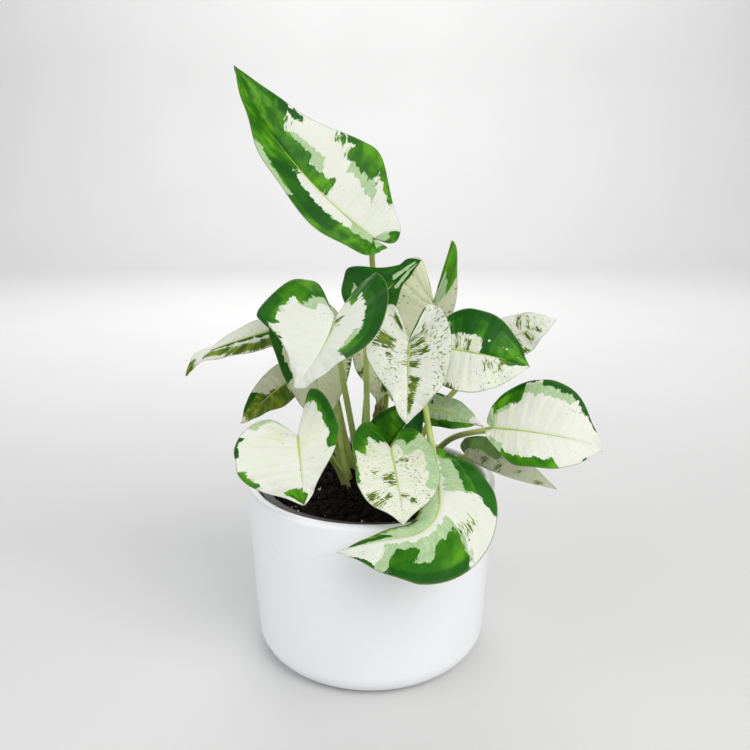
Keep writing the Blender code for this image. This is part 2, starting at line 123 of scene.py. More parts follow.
# Second colours of the finishes, laid over those in the settings
# The first colour is painted shade: grey-green streaks along the pale ground's vein wrinkles
PAINTED_VEIN_SHADE, BLUSH, MARBLE = (0.56, 0.61, 0.43), (0.66, 0.70, 0.24), (0.56, 0.66, 0.40)
FLECK = (0.09, 0.15, 0.03)
PALE_SAGE = (0.49, 0.63, 0.38)
LIT_GREEN, DARK_GREEN = (0.11, 0.36, 0.006), (0.014, 0.115, 0.003)
LIT_DEEP, DARK_OLIVE = (0.022, 0.15, 0.005), (0.05, 0.11, 0.008)
MIDRIB, MARGIN, UNDERSIDE = (0.50, 0.56, 0.26), (0.17, 0.25, 0.06), (0.42, 0.48, 0.26)
STALK_STREAK, STALK_BLOTCH = (0.58, 0.67, 0.24), (0.20, 0.27, 0.05)
# The first colour is a painted highlight, laid paler on a stalk's upper side round its channel
STALK_TOP_HIGHLIGHT, STALK_ROOT = (0.52, 0.60, 0.22), (0.20, 0.21, 0.05)
BARK_LIGHT, BARK_CRACK, LEAF_SCAR = (0.26, 0.25, 0.09), (0.03, 0.02, 0.01), (0.38, 0.32, 0.16)
GLAZE_CLOUD, GLAZE_PORE = (0.89, 0.895, 0.91), (0.5, 0.5, 0.5)
PLASTIC_DUST = (0.03, 0.029, 0.027)
PEAT_LIGHT, PEAT_FIBRE = (0.035, 0.024, 0.016), (0.09, 0.06, 0.035)
MINERAL, MINERAL_PIT = (0.72, 0.70, 0.66), (0.40, 0.38, 0.35)
WARM_LIGHT, COOL_LIGHT, WHITE_LIGHT = (1.0, 0.99, 0.97), (0.96, 0.98, 1.0), (1.0, 1.0, 1.0)


@dataclass
class Leaf:
    """A blade and its stalk; places are from the centre of the rim, angles are degrees, and
    pairs are (left, right)."""

    name: str
    base: tuple               # where the stalk meets the blade
    tip: tuple                # of the blade
    width: float              # as a share of the midrib
    lobe: tuple = (0.2, 0.2)  # reach behind the stalk, as a share of the midrib
    turn: float = 0.0         # about the line from base to tip
    fold: tuple = (10, 10)    # of each half up from the midrib
    cup: tuple = (10, 10)     # further rise towards the margin
    lobe_curl: tuple = (0, 0)  # further rise of the lobe's margin
    lobe_lift: tuple = (0, 0)  # upward bend of the lobe behind the stalk
    droop: float = 20.0       # bend of the midrib over its length
    tip_droop: float = 10.0   # further bend near the tip
    side_bend: float = 0.0    # swing of the midrib, to the left if positive
    bend_span: tuple = (0, 1)  # shares of the midrib where the side bend starts and ends
    lean: float = 0.0         # share by which the right half is wider
    slim: tuple = (0, 0)      # narrowing towards the tip
    neck: tuple = (0, 0)      # narrowing towards the stalk
    root: tuple = (0, 0)      # of the stalk, seen from above
    root_height: float = 0.0  # above the soil
    leave: tuple = (0, 0, 1)  # the stalk's direction at its root
    arrive: tuple = (0, 0, 1)  # its direction at the blade
    reach: tuple = (0.4, 0.35)  # of its curve's two handles, as shares of its span


def at_front(x, inside, above):
    """A place measured from the front of the rim, for what lies over it."""
    return (x, inside - RIM_RADIUS, above)


LEAVES = (
    Leaf("top", base=(1, -6, 129), tip=(-63, -16, 208), width=0.62, slim=(0.2, 0.2),
         neck=(0.4, 0.4), lobe=(0.05, 0.1), lobe_curl=(50, 80), lobe_lift=(5, 10), turn=-50,
         fold=(12, 24), cup=(5, 5), droop=-10, tip_droop=-6, side_bend=-28, lean=0.14,
         root=(5, 27), root_height=43.5, leave=(0, 0.08, 1), arrive=(0, -0.4, 0.92),
         reach=(0.62, 0.3)),
    Leaf("front_left", base=(-16.5, -42, 94), tip=(-34, -62, 66), width=1.64, slim=(0.22, 0.3),
         neck=(0, -0.12), lobe=(0.58, 0.66), turn=-4, fold=(8, 10), cup=(8, 6), droop=12,
         tip_droop=6, side_bend=-45, lean=0.08,
         root=(-7, 21), leave=(-0.1, -0.35, 1), arrive=(0, -0.6, 0.8)),
    Leaf("dark_back_left", base=(-3, -12, 91), tip=(25, -14, 118.5), width=0.95, slim=(0.5, 0.6),
         lobe=(0.1, 0.1), turn=62, fold=(5, 5), cup=(0, 0), lean=-0.25,
         root=(-2, 12), leave=(0, -0.35, 1), arrive=(0, -0.2, 1), reach=(0.4, 0.3)),
    Leaf("front_centre", base=(18.3, -40, 82.7), tip=(16.8, -58, 47.7), width=1.04, slim=(0, 0.4),
         lobe=(0.5, 0.46), lobe_lift=(0, 10), lobe_curl=(0, 30), fold=(10, 10), cup=(5, 5),
         root=(10, 17), root_height=19, leave=(0.2, -0.2, 1), arrive=(0, -0.7, 0.7)),
    Leaf("back_centre", base=(33, 3, 95), tip=(30, -7, 62), width=1.15, lobe=(0.95, 0.7), turn=6,
         fold=(12, 0), cup=(20, 0), lean=0.32,
         root=(15, 35), root_height=24, leave=(0.2, -0.1, 1), arrive=(0, -0.5, 0.8)),
    Leaf("right_upper", base=(39, -24, 76), tip=(79, -26, 67), width=1.04, slim=(-0.15, 0),
         lobe=(0.15, 0.15), turn=60, fold=(5, 0), cup=(10, 5),
         root=(20, 28), leave=(0.3, -0.1, 1), arrive=(0.5, -0.3, 0.8)),
    Leaf("right_back", base=(72, 22, 68), tip=(102, 20, 83), width=0.8, turn=50, fold=(5, 5),
         cup=(0, 0),
         root=(25, 36), leave=(0.2, 0, 1), arrive=(0.6, 0, 0.7)),
    Leaf("right_front", base=(63, -26, 35), tip=(116, -34, 26), width=0.8, slim=(-0.38, -0.25),
         neck=(0.2, 0.45), lobe=(0.05, 0.05), turn=52, fold=(5, 5), cup=(10, 10), droop=40,
         tip_droop=20, lean=-0.14,
         root=(29, 26), leave=(0.6, -0.2, 0.8), arrive=(0.8, -0.2, 0.2)),
    Leaf("right_low", base=(52, -4, 12), tip=(100, -12, -4), width=0.62, lobe=(0.1, 0.1),
         fold=(45, 80), droop=-30,
         root=(32, 17), leave=(0.6, -0.2, 0.8), arrive=(0.8, -0.2, 0.1), reach=(0.3, 0.3)),
    Leaf("right_inner", base=(27, -18, 44), tip=(58, -20, 34), width=0.58, lobe=(0.1, 0.1), turn=40,
         fold=(5, -60),
         root=(17, 13), leave=(0.3, -0.2, 1), arrive=(0.6, -0.2, 0.7)),
    Leaf("low_centre", base=at_front(10, 18, 32), tip=at_front(15, -8, 5.5), width=1.05,
         slim=(-0.3, -0.3), lobe=(0.3, 0.42), lobe_lift=(0, 10), fold=(5, 5), cup=(10, 10),
         root=(-3, 5), leave=(0, -0.4, 1), arrive=(0.4, -0.9, 0.4), reach=(0.4, 0.4)),
    Leaf("over_rim", base=at_front(31, 20, 27), tip=at_front(-15, -12, -6), width=0.43,
         slim=(-0.3, 0), neck=(0.3, -0.3), lobe=(0.02, 0.02), turn=-38, fold=(5, -15),
         side_bend=-85, bend_span=(0.25, 0.6), lean=-0.5,
         root=(23, 4), leave=(0.05, -0.1, 1), arrive=(0.15, -0.65, -0.75), reach=(1.45, 0.9)),
    Leaf("low_left", base=(-34.5, -50, 38.3), tip=(-31, -62, 9), width=1.5, slim=(0.35, -0.2),
         neck=(-0.12, 0), lobe=(0.7, 0.3), lobe_lift=(10, 0), turn=8, fold=(12, 0), cup=(10, 5),
         lean=0.25,
         root=(-14, 2), leave=(-0.3, -0.4, 1), arrive=(-0.3, -0.8, 0.4)),
    Leaf("far_left", base=(-48, 4, 81), tip=(-96, -10, 58), width=0.38, slim=(0.2, 0.35),
         lobe=(0.14, 0.14), turn=-8, fold=(-40, 12), droop=10, tip_droop=45,
         root=(-11, 31), leave=(-0.3, 0, 1), arrive=(-0.9, -0.3, 0.3)),
    Leaf("left_under", base=(-42, 16, 52), tip=(-72, 6, 27), width=0.55, turn=-50,
         root=(-16, 25), leave=(-0.4, -0.1, 1), arrive=(-0.8, -0.1, 0.3)),
    Leaf("left_hanging", base=(-35, 6, 83), tip=(-26, -12, 31), width=0.8, fold=(5, 5),
         root=(-13, 12), leave=(-0.2, -0.1, 1), arrive=(-0.5, -0.3, 0.8)),
    Leaf("middle_back", base=(1, 14, 80), tip=(4, 6, 39), width=0.75, fold=(5, 5),
         root=(-5, 37), leave=(0, -0.1, 1), arrive=(0, -0.5, 0.8), reach=(0.4, 0.3)),
    Leaf("dark_centre", base=(10, -19, 22), tip=(27, -23, 48), width=1.0, lobe=(0.1, 0.1), turn=70,
         root=(12, 4), leave=(0, -0.2, 1), arrive=(0.5, -0.4, 0.6), reach=(0.4, 0.3)),
    Leaf("small_back", base=(10, 22, 56), tip=(12, 16, 37), width=0.8,
         root=(7, 44), leave=(0, -0.1, 1), arrive=(0, -0.5, 0.8), reach=(0.4, 0.3)),
)

# Variegation, painted in order on the pale ground: colour, half (0 left, 1 right), s from and to,
# t from and to. Green, deep and olive are green tissue, sage is the half-green tissue beside it.
PAINT = {
    "top": (
        ("green", 0, 0, 1, 0, 1), ("sage", 0, 0.28, 0.48, 0, 0.34),
        ("cream", 0, 0.44, 0.68, 0, 0.34), ("deep", 0, 0.5, 0.68, 0.36, 0.7),
        ("sage", 0, 0.58, 0.74, 0.84, 1), ("sage", 0, 0.06, 0.24, 0.2, 0.7),
        ("sage", 1, 0.62, 0.77, 0.24, 0.5), ("green", 1, 0.57, 1, 0, 0.24),
        ("green", 1, 0.67, 1, 0, 0.4), ("green", 1, 0.78, 1, 0, 1),
        ("deep", 1, 0.72, 0.79, 0.8, 0.96), ("sage", 1, 0.42, 0.55, 0.46, 0.68),
        ("green", 1, 0.36, 0.6, 0.84, 1), ("green", 1, 0.45, 0.57, 0.64, 1),
        ("sage", 1, 0.02, 0.24, 0.1, 0.62), ("green", 1, 0, 0.22, 0.62, 1)),
    "front_left": (
        ("sage", 1, 0.08, 0.34, 0.34, 0.6), ("green", 1, 0.05, 0.34, 0.54, 1),
        ("green", 1, 0.05, 0.5, 0.74, 1), ("deep", 1, 0.4, 0.62, 0.92, 1),
        ("sage", 0, 0, 0.15, 0, 1), ("green", 0, 0.1, 0.64, 0.56, 1),
        ("green", 0, 0.16, 0.3, 0.38, 1), ("deep", 0, 0.3, 0.62, 0.86, 1),
        ("sage", 0, 0.52, 0.64, 0.44, 0.58), ("olive", 0, 0.37, 0.41, 0.03, 0.14),
        ("olive", 0, 0.43, 0.46, 0.05, 0.13)),
    "dark_back_left": (
        ("deep", 0, 0, 1, 0, 1), ("deep", 1, 0, 1, 0, 1), ("sage", 0, 0.12, 0.46, 0.4, 0.6),
        ("deep", 0, 0.2, 0.4, 0.47, 0.5), ("sage", 0, 0.74, 0.96, 0.15, 0.45),
        ("sage", 1, 0.7, 0.95, 0.3, 0.7)),
    "front_centre": (
        ("olive", 1, 0.39, 0.46, 0.38, 0.74), ("olive", 1, 0.17, 0.24, 0.34, 0.7),
        ("deep", 0, 0, 0.17, 0.1, 0.9), ("olive", 0, 0.3, 0.335, 0.08, 0.46),
        ("olive", 0, 0.38, 0.41, 0.06, 0.4), ("olive", 0, 0.45, 0.475, 0.06, 0.4),
        ("olive", 1, 0.5, 0.53, 0.3, 0.44), ("olive", 0, 0.55, 0.58, 0, 0.2),
        ("olive", 1, 0.55, 0.58, 0, 0.16), ("olive", 0, 0.66, 0.93, 0.06, 0.34)),
    "back_centre": (
        ("olive", 1, 0.4, 0.52, 0.95, 1), ("green", 0, 0, 0.44, 0.2, 1),
        ("sage", 0, 0.26, 0.46, 0, 0.56), ("sage", 0, 0.12, 0.17, 0.3, 0.8),
        ("deep", 0, 0, 0.1, 0, 1), ("cream", 0, 0.42, 1, 0, 1)),
    "right_upper": (
        ("green", 0, 0.26, 1, 0.38, 1), ("green", 0, 0.6, 1, 0, 0.4),
        ("green", 1, 0.76, 0.97, 0, 0.3), ("sage", 0, 0.18, 0.34, 0.2, 0.84),
        ("deep", 0, 0.28, 0.9, 0.88, 1), ("deep", 0, 0.46, 0.5, 0.4, 0.9),
        ("deep", 0, 0.62, 0.65, 0.1, 0.8), ("olive", 0, 0.4, 0.43, 0.06, 0.3),
        ("olive", 0, 0.48, 0.51, 0.03, 0.25), ("olive", 1, 0.66, 0.7, 0.16, 0.4),
        ("olive", 1, 0.74, 0.78, 0.2, 0.5), ("olive", 1, 0.3, 0.46, 0.94, 1)),
    "right_back": (
        ("olive", 0, 0.4, 0.43, 0.1, 0.8), ("olive", 0, 0.5, 0.53, 0.1, 0.6),
        ("olive", 0, 0.6, 0.63, 0.2, 0.9), ("olive", 0, 0.7, 0.73, 0.1, 0.8),
        ("olive", 1, 0.46, 0.49, 0.1, 0.8), ("olive", 1, 0.54, 0.57, 0.2, 0.9),
        ("olive", 1, 0.64, 0.67, 0.1, 0.7), ("olive", 1, 0.76, 0.79, 0.1, 0.7)),
    "right_front": (
        ("sage", 0, 0, 0.3, 0.1, 1), ("sage", 0, 0.26, 0.42, 0.44, 0.66),
        ("sage", 0, 0.46, 0.72, 0.74, 0.92), ("green", 0, 0.24, 0.48, 0.56, 1),
        ("green", 0, 0.54, 0.88, 0.88, 1), ("green", 1, 0.36, 0.66, 0.74, 1),
        ("sage", 1, 0.24, 0.4, 0.6, 1), ("deep", 1, 0.82, 0.86, 0.92, 1),
        ("deep", 0, 0.3, 0.9, 0.96, 1)),
    "right_low": (
        ("green", 0, 0, 0.56, 0.42, 1), ("green", 1, 0, 0.56, 0.42, 1),
        ("olive", 1, 0.38, 0.41, 0.1, 0.4), ("olive", 1, 0.46, 0.49, 0.05, 0.3),
        ("olive", 1, 0.58, 0.6, 0.06, 0.3), ("olive", 1, 0.7, 0.72, 0.2, 0.5),
        ("olive", 1, 0.86, 0.9, 0, 0.4)),
    "right_inner": (
        ("sage", 0, 0, 0.86, 0, 1), ("sage", 1, 0, 0.86, 0, 0.5), ("green", 1, 0.1, 0.9, 0.5, 1),
        ("green", 0, 0.3, 0.5, 0.86, 1), ("deep", 0, 0.42, 0.44, 0.3, 0.5)),
    "low_centre": (
        ("sage", 0, 0.02, 0.44, 0.24, 1), ("green", 0, 0.03, 0.34, 0.46, 1),
        ("sage", 0, 0.36, 0.7, 0.72, 1), ("green", 1, 0.03, 0.31, 0.3, 1),
        ("green", 1, 0.24, 0.46, 0.64, 1), ("green", 1, 0.42, 0.62, 0.94, 1),
        ("olive", 1, 0.6, 0.65, 0.1, 0.32), ("olive", 1, 0.665, 0.7, 0.03, 0.2),
        ("olive", 1, 0.57, 0.6, 0.46, 0.56), ("olive", 1, 0.71, 0.75, 0.66, 0.9),
        ("olive", 1, 0.77, 0.81, 0.6, 0.96), ("olive", 1, 0.76, 0.79, 0.3, 0.5),
        ("olive", 0, 0.78, 0.8, 0.1, 0.3), ("olive", 0, 0.8, 0.82, 0.4, 0.6),
        ("olive", 0, 0.46, 0.48, 0.1, 0.24)),
    "over_rim": (
        ("sage", 0, 0, 0.54, 0.1, 0.56), ("green", 0, 0.04, 0.3, 0.3, 1),
        ("green", 0, 0.26, 0.5, 0.44, 1), ("deep", 0, 0.2, 0.5, 0.76, 1),
        ("cream", 0, 0.5, 0.6, 0, 1), ("sage", 0, 0.6, 0.84, 0.14, 1),
        ("green", 0, 0.61, 0.79, 0.34, 1), ("sage", 0, 0.685, 0.71, 0.3, 0.62),
        ("deep", 0, 0.62, 0.8, 0.93, 1), ("cream", 0, 0.85, 1, 0, 0.86),
        ("deep", 0, 0.82, 0.93, 0.88, 1), ("olive", 0, 0.565, 0.58, 0.5, 0.6),
        ("sage", 1, 0, 1, 0, 1), ("deep", 1, 0.8, 0.95, 0.3, 1), ("olive", 1, 0.3, 0.84, 0.86, 1)),
    "low_left": (
        ("sage", 1, 0.06, 0.32, 0.84, 1), ("deep", 1, 0.4, 0.5, 0.93, 1),
        ("green", 1, 0.6, 0.74, 0.87, 1), ("green", 1, 0.85, 1, 0, 0.7),
        ("green", 0, 0.1, 0.54, 0.74, 1), ("deep", 0, 0.06, 0.4, 0.92, 1),
        ("green", 0, 0.88, 1, 0, 0.6)),
    "far_left": (
        ("olive", 0, 0.4, 0.67, 0.4, 0.9), ("olive", 0, 0.67, 0.82, 0.3, 0.75),
        ("deep", 0, 0.4, 0.8, 0.04, 0.2), ("olive", 0, 0.9, 1, 0, 1), ("olive", 1, 0.9, 1, 0, 1)),
    "left_under": (
        ("olive", 1, 0.68, 0.94, 0, 1), ("olive", 0, 0.48, 0.94, 0, 1),
        ("deep", 1, 0.7, 0.86, 0.76, 1), ("olive", 1, 0.58, 0.68, 0, 0.16)),
    "left_hanging": (
        ("deep", 1, 0.38, 0.66, 0.76, 1), ("olive", 0, 0.4, 0.7, 0.95, 1),
        ("sage", 1, 0.34, 0.4, 0.6, 1)),
    "middle_back": (
        ("olive", 0, 0.66, 0.9, 0.3, 0.9), ("olive", 1, 0.66, 0.7, 0.5, 1)),
    "dark_centre": (
        ("deep", 0, 0, 1, 0, 1), ("deep", 1, 0, 1, 0, 1), ("green", 0, 0.4, 0.7, 0.2, 0.7)),
    "small_back": (
        ("sage", 1, 0.3, 0.6, 0.5, 1),),
}

# Skin of the pale ground: dark flecks, yellow blush towards the stalk, and painted shade,
# a duller tan given to blades that sit in shade
SKIN = {
    "top": (0.15, 0.1, 0.0), "front_left": (0.2, 0.15, 0.0), "dark_back_left": (0.0, 0.0, 0.1),
    "front_centre": (0.85, 0.15, 0.05), "back_centre": (0.75, 0.2, 0.75),
    "right_upper": (0.6, 0.35, 0.1), "right_back": (0.45, 0.6, 0.1),
    "right_front": (0.15, 0.7, 0.05), "right_low": (0.2, 0.2, 0.45), "right_inner": (0.1, 0.0, 0.0),
    "low_centre": (1.0, 0.35, 0.25), "over_rim": (0.25, 0.1, 0.05), "low_left": (0.35, 0.5, 0.05),
    "far_left": (0.3, 0.3, 0.2), "left_under": (0.2, 0.2, 0.65), "left_hanging": (0.6, 0.1, 0.8),
    "middle_back": (0.7, 0.5, 0.8), "dark_centre": (0.0, 0.0, 0.0), "small_back": (0.3, 0.1, 0.4),
}
TONES = {"green": 0.0, "deep": 1.0, "olive": -1.0}
FIELD_S = 0.05                # share of the margin over which a patch's edge fades
FIELD_T = 0.18                # share of a side vein over which it fades
SAGE_UNDER = 0.6              # how far sage runs on under green, in those same fields

# name, foot and top seen from above, height above the soil
STEMS = (
    ("tall", (2, 30), (5, 27), 42.0),
    ("back", (14, 38), (15, 35), 22.5),
    ("front", (10, 20), (10, 17), 17.5),
)


def tint(name, description, default):
    """A colour property."""
    return FloatVectorProperty(name=name, description=description, subtype="COLOR", default=default)


def number(name, description, default, **limits):
    """A property for a length, a power or a strength."""
    return FloatProperty(name=name, description=description, default=default, **limits)


class BladeSettings(bpy.types.PropertyGroup):
    """Sizes and colours of the leaf blades."""

    thickness: number("Thickness", "In the middle of a blade, in millimetres", LEAF_THICKNESS,
                      min=0.3, max=2.0)
    edge: number("Edge", "Thickness at the margin, in millimetres", 0.3, min=0.1, max=1.0)
    wave: number("Wave", "Height of the margin's waves, in millimetres", 1.0, min=0.0, max=3.0)
    quilt: number("Quilting", "Rise between side veins, in millimetres", 0.42, min=0.0, max=1.0)
    groove: number("Groove", "Depth of the midrib's groove, in millimetres", 0.55, min=0.0, max=1.5)
    cream: tint("Cream", "Colour without green", (0.76, 0.77, 0.695))
    green: tint("Green", "Colour of green tissue", (0.042, 0.20, 0.003))
    deep: tint("Deep green", "Darkest green", (0.008, 0.085, 0.003))
    olive: tint("Olive", "Yellowish green", (0.22, 0.30, 0.02))
    sage: tint("Sage", "Half-green tissue", (0.34, 0.50, 0.25))
    # Painted shade: the duller tan that the pale ground of blades in shade turns towards
    tan: tint("Tan", "Duller pale tissue", (0.67, 0.68, 0.43))


class StalkSettings(bpy.types.PropertyGroup):
    """Sizes and colours of the leaf stalks and vine stems."""

    radius: number("Radius", "Where a stalk leaves its stem, in millimetres", STALK_RADIUS,
                   min=0.5, max=4.0)
    channel: number("Channel", "Groove along a stalk's upper side, as a share of its radius", 0.28,
                    min=0.0, max=0.6)
    colour: tint("Stalk", "Stalk colour", (0.36, 0.46, 0.07))
    stem: tint("Stem", "Stem colour", (0.13, 0.10, 0.035))


class PotSettings(bpy.types.PropertyGroup):
    """Sizes and colours of the two pots."""

    wall: number("Wall", "Cover pot's wall, in millimetres", 5.5, min=2.0)
    floor: number("Floor", "Cover pot's floor, in millimetres", 7.0, min=2.0)
    taper: number("Taper", "Narrowing to the foot, in millimetres", 5.0)
    glaze: tint("Glaze", "Cover pot's colour", (0.87, 0.88, 0.90))
    plastic: tint("Plastic", "Grower's pot's colour", (0.012, 0.012, 0.013))


class SoilSettings(bpy.types.PropertyGroup):
    """The soil's surface."""

    relief: number("Relief", "Height of the surface's lumps, in millimetres", 1.1, min=0.0, max=3.0)
    crumbs: IntProperty(name="Crumbs", description="Loose crumbs on the surface", default=2600,
                        min=0)
    specks: IntProperty(name="Specks", description="White mineral specks", default=90, min=0)
    colour: tint("Soil", "Soil colour", (0.010, 0.007, 0.005))


class StageSettings(bpy.types.PropertyGroup):
    """Floor, light and camera."""

    floor: tint("Floor", "Floor colour", (0.70, 0.695, 0.69))
    key: number("Key light", "Power of the large soft light", 15.0, unit="POWER")
    fill: number("Fill light", "Power of the opposite light", 4.0, unit="POWER")
    backdrop: number("Backdrop light", "Power of the light on the backdrop", 34.0, unit="POWER")
    sky: number("Sky", "Strength of the even light all round", 0.60)
    aside: number("Aside", "Camera to the right of the pot's axis", 0.0022, unit="LENGTH")
    distance: number("Distance", "Camera in front of the pot's axis", 0.3878, unit="LENGTH")
    height: number("Height", "Camera above the floor", 0.2526, unit="LENGTH")
    pitch: FloatProperty(name="Pitch", description="Camera's tilt below level", subtype="ANGLE",
                         default=math.radians(14.38))


def unit(v):
    """The direction of a vector."""
    v = np.asarray(v, dtype=float)
    return v / np.linalg.norm(v)


def ease(x):
    """Smooth step 3x^2 - 2x^3 from 0 to 1, flat outside."""
    x = np.clip(x, 0.0, 1.0)
    return x * x * (3 - 2 * x)


def rotation(axis, angle):
    """Rotation matrices about one axis for an array of angles."""
    c, s, one, nil = np.cos(angle), np.sin(angle), np.ones_like(angle), np.zeros_like(angle)
    rows = {
        "x": [[one, nil, nil], [nil, c, -s], [nil, s, c]],
        "y": [[c, nil, s], [nil, one, nil], [-s, nil, c]],
        "z": [[c, -s, nil], [s, c, nil], [nil, nil, one]],
    }[axis]
    return np.moveaxis(np.array(rows), (0, 1), (-2, -1))


def outline(count):
    """The margin of the right half: a cubic Hermite curve through the outline, evenly spaced
    along it."""
    knots = np.array(LEAF_OUTLINE)
    steps = np.linalg.norm(np.diff(knots, axis=0), axis=1)
    place = np.concatenate([[0.0], np.cumsum(steps)])
    slope = np.gradient(knots, place, axis=0)
    fine = np.linspace(0.0, place[-1], 400)
    k = np.clip(np.searchsorted(place, fine, side="right") - 1, 0, len(place) - 2)
    span = (place[k + 1] - place[k])[:, None]
    w = (fine - place[k])[:, None] / span
    curve = ((2 * w**3 - 3 * w**2 + 1) * knots[k] + (w**3 - 2 * w**2 + w) * span * slope[k]
             + (3 * w**2 - 2 * w**3) * knots[k + 1] + (w**3 - w**2) * span * slope[k + 1])
    length = np.concatenate([[0.0], np.cumsum(np.linalg.norm(np.diff(curve, axis=0), axis=1))])
    even = np.linspace(0.0, length[-1], count)
    return np.stack([np.interp(even, length, curve[:, i]) for i in range(2)], axis=1)


def half_width(leaf, side):
    """Half's width as a share of the midrib: half the blade's width, more or less by its lean."""
    return leaf.width / 2 * (1 + (leaf.lean if side else -leaf.lean))


def flat_half(leaf, side, rows, columns):
    """One half laid flat: each side vein is a quadratic Bezier curve from its root on the midrib,
    at ((s - 0.3) / 0.7)^1.25, out to the margin, bent towards the tip; slim and neck narrow the
    half ahead and behind."""
    half = half_width(leaf, side)
    margin = outline(rows + 1)[1:]
    s = np.linspace(0.0, 1.0, rows + 1)[1:, None]
    t = np.linspace(0.0, 1.0, columns)[None, :] ** VEIN_CROWDING
    edge_x = margin[:, :1] * half
    grow, fade = ease(s / 0.2), 1 - ease((s - 0.25) / 0.4)
    edge_y = margin[:, 1:] - (leaf.lobe[side] - OUTLINE_LOBE) * grow * fade
    rib_y = np.clip((s - LOBE_SHARE) / (1 - LOBE_SHARE), 0, 1) ** VEIN_SPACING
    bend_y = np.where(s < LOBE_SHARE, 0.5 * edge_y,
                      rib_y + 0.28 * (edge_y - rib_y) - 0.02 * (1 - s))
    x = 2 * t * (1 - t) * 0.55 * edge_x + t * t * edge_x
    y = (1 - t) ** 2 * rib_y + 2 * t * (1 - t) * bend_y + t * t * edge_y
    x = x * (1 - leaf.slim[side] * ease((y - 0.2) / 0.5) * (1 - ease((y - 0.75) / 0.25)))
    x = x * (1 - leaf.neck[side] * (1 - ease((y + 0.1) / 0.4)))
    return x, y, s, t


def half_points(leaf, side, rows, columns):
    """One half, folded and bent: across it the slope is fold + cup * x + lobe curl, summed from
    the midrib; along it the midrib is walked in frames that pitch with droop and swing with the
    side bend."""
    x, y, s, t = flat_half(leaf, side, rows, columns)
    rise = (leaf.fold[side] + leaf.cup[side] * x / half_width(leaf, side)
            + leaf.lobe_curl[side] * np.exp(-((s / 0.22) ** 2)) * t)
    rise = np.radians(rise)
    step = np.diff(x, axis=1, prepend=0.0)
    middle = rise.copy()
    middle[:, 1:] = (rise[:, 1:] + rise[:, :-1]) / 2
    across = np.cumsum(np.cos(middle) * step, axis=1)
    up = np.cumsum(np.sin(middle) * step, axis=1)

    along = np.linspace(*MIDRIB_SPAN, MIDRIB_STEPS)
    ahead, behind = np.clip(along, 0, None), np.clip(-along, 0, None)
    pitch = (-leaf.droop * ahead - leaf.tip_droop * ease((ahead - 0.6) / 0.4)
             - leaf.lobe_lift[side] * ease(behind / max(leaf.lobe[side], 0.05)))
    start, end = leaf.bend_span
    swing = leaf.side_bend * np.clip((ahead - start) / (end - start), 0, 1)
    frames = rotation("z", np.radians(swing)) @ rotation("x", np.radians(pitch))
    tangent = frames[:, :, 1]
    walk = (tangent[1:] + tangent[:-1]) / 2 * np.diff(along)[:, None]
    line = np.concatenate([np.zeros((1, 3)), np.cumsum(walk, axis=0)])

    def read(values):
        """Values along the midrib, read at each point's y."""
        return np.stack([np.interp(y, along, values[:, i]) for i in range(3)], axis=-1)

    origin = np.array([np.interp(0.0, along, line[:, i]) for i in range(3)])
    sign = 1 if side else -1
    return (read(line) - origin + sign * across[..., None] * read(frames[:, :, 0])
            + up[..., None] * read(frames[:, :, 2]))


def blade_halves(leaf, rows, columns):
    """Both halves in place: turned and scaled so that the midrib's ends meet the leaf's base and
    tip."""
    halves = [half_points(leaf, side, rows, columns) for side in (0, 1)]
    tip = halves[1][-1, -1]
    chord = unit(tip)
    upright = unit(np.array([0, 0, 1.0]) - chord * chord[2])
    own = np.stack([np.cross(chord, upright), chord, upright])
    base = np.array(leaf.base) + RIM_CENTRE
    reach = np.array(leaf.tip) + RIM_CENTRE - base
    ahead = unit(reach)
    right = unit(np.cross(ahead, (0, 0, 1)))
    up = np.cross(right, ahead)
    turn = math.radians(leaf.turn)
    right, up = (math.cos(turn) * right - math.sin(turn) * up,
                 math.cos(turn) * up + math.sin(turn) * right)
    place = own.T @ np.stack([right, ahead, up]) * np.linalg.norm(reach) / np.linalg.norm(tip)
    return [points @ place + base for points in halves]


def vertex_normals(points, triangles):
    """Unit normals: the sum of each point's triangle normals, which weighs them by area."""
    corners = points[triangles]
    faces = np.cross(corners[:, 1] - corners[:, 0], corners[:, 2] - corners[:, 0])
    total = np.zeros_like(points)
    for corner in range(3):
        np.add.at(total, triangles[:, corner], faces)
    return total / np.maximum(np.linalg.norm(total, axis=1, keepdims=True), 1e-12)


def patch_field(patch, s, t):
    """How deep inside a patch a point lies: the least of its four edge distances, each counted
    in fading widths and clipped to 1; an edge that lies on the blade's own border doesn't count."""
    _, _, s0, s1, t0, t1 = patch
    depth = np.ones_like(s)
    for place, low, high, width in ((s, s0, s1, FIELD_S), (t, t0, t1, FIELD_T)):
        if low > 0:
            depth = np.minimum(depth, (place - low) / width)
        if high < 1:
            depth = np.minimum(depth, (high - place) / width)
    return np.clip(depth, -1, 1)


def painted(leaf, side, s, t):
    """Green depth, sage depth and green tone at each point: patches are joined by their highest
    depth, and each one cuts the other colour back by its own. Sage runs on a little way under
    green, which hides it, so that no pale line shows between them."""
    green, sage, tone = -np.ones_like(s), -np.ones_like(s), np.zeros_like(s)
    for patch in PAINT[leaf.name]:
        colour, half = patch[:2]
        if half != side:
            continue
        depth = patch_field(patch, s, t)
        inside = np.clip(depth * 3 + 2.2, 0, 1)
        if colour in TONES:
            green, sage = np.maximum(green, depth), np.minimum(sage, SAGE_UNDER - depth)
            tone = tone + (TONES[colour] - tone) * inside
        elif colour == "sage":
            sage = np.maximum(sage, depth + np.clip(green, 0, SAGE_UNDER))
            green = np.minimum(green, -depth)
        else:
            green, sage = np.minimum(green, -depth), np.minimum(sage, -depth)
    return np.stack([green, sage, tone], axis=-1)


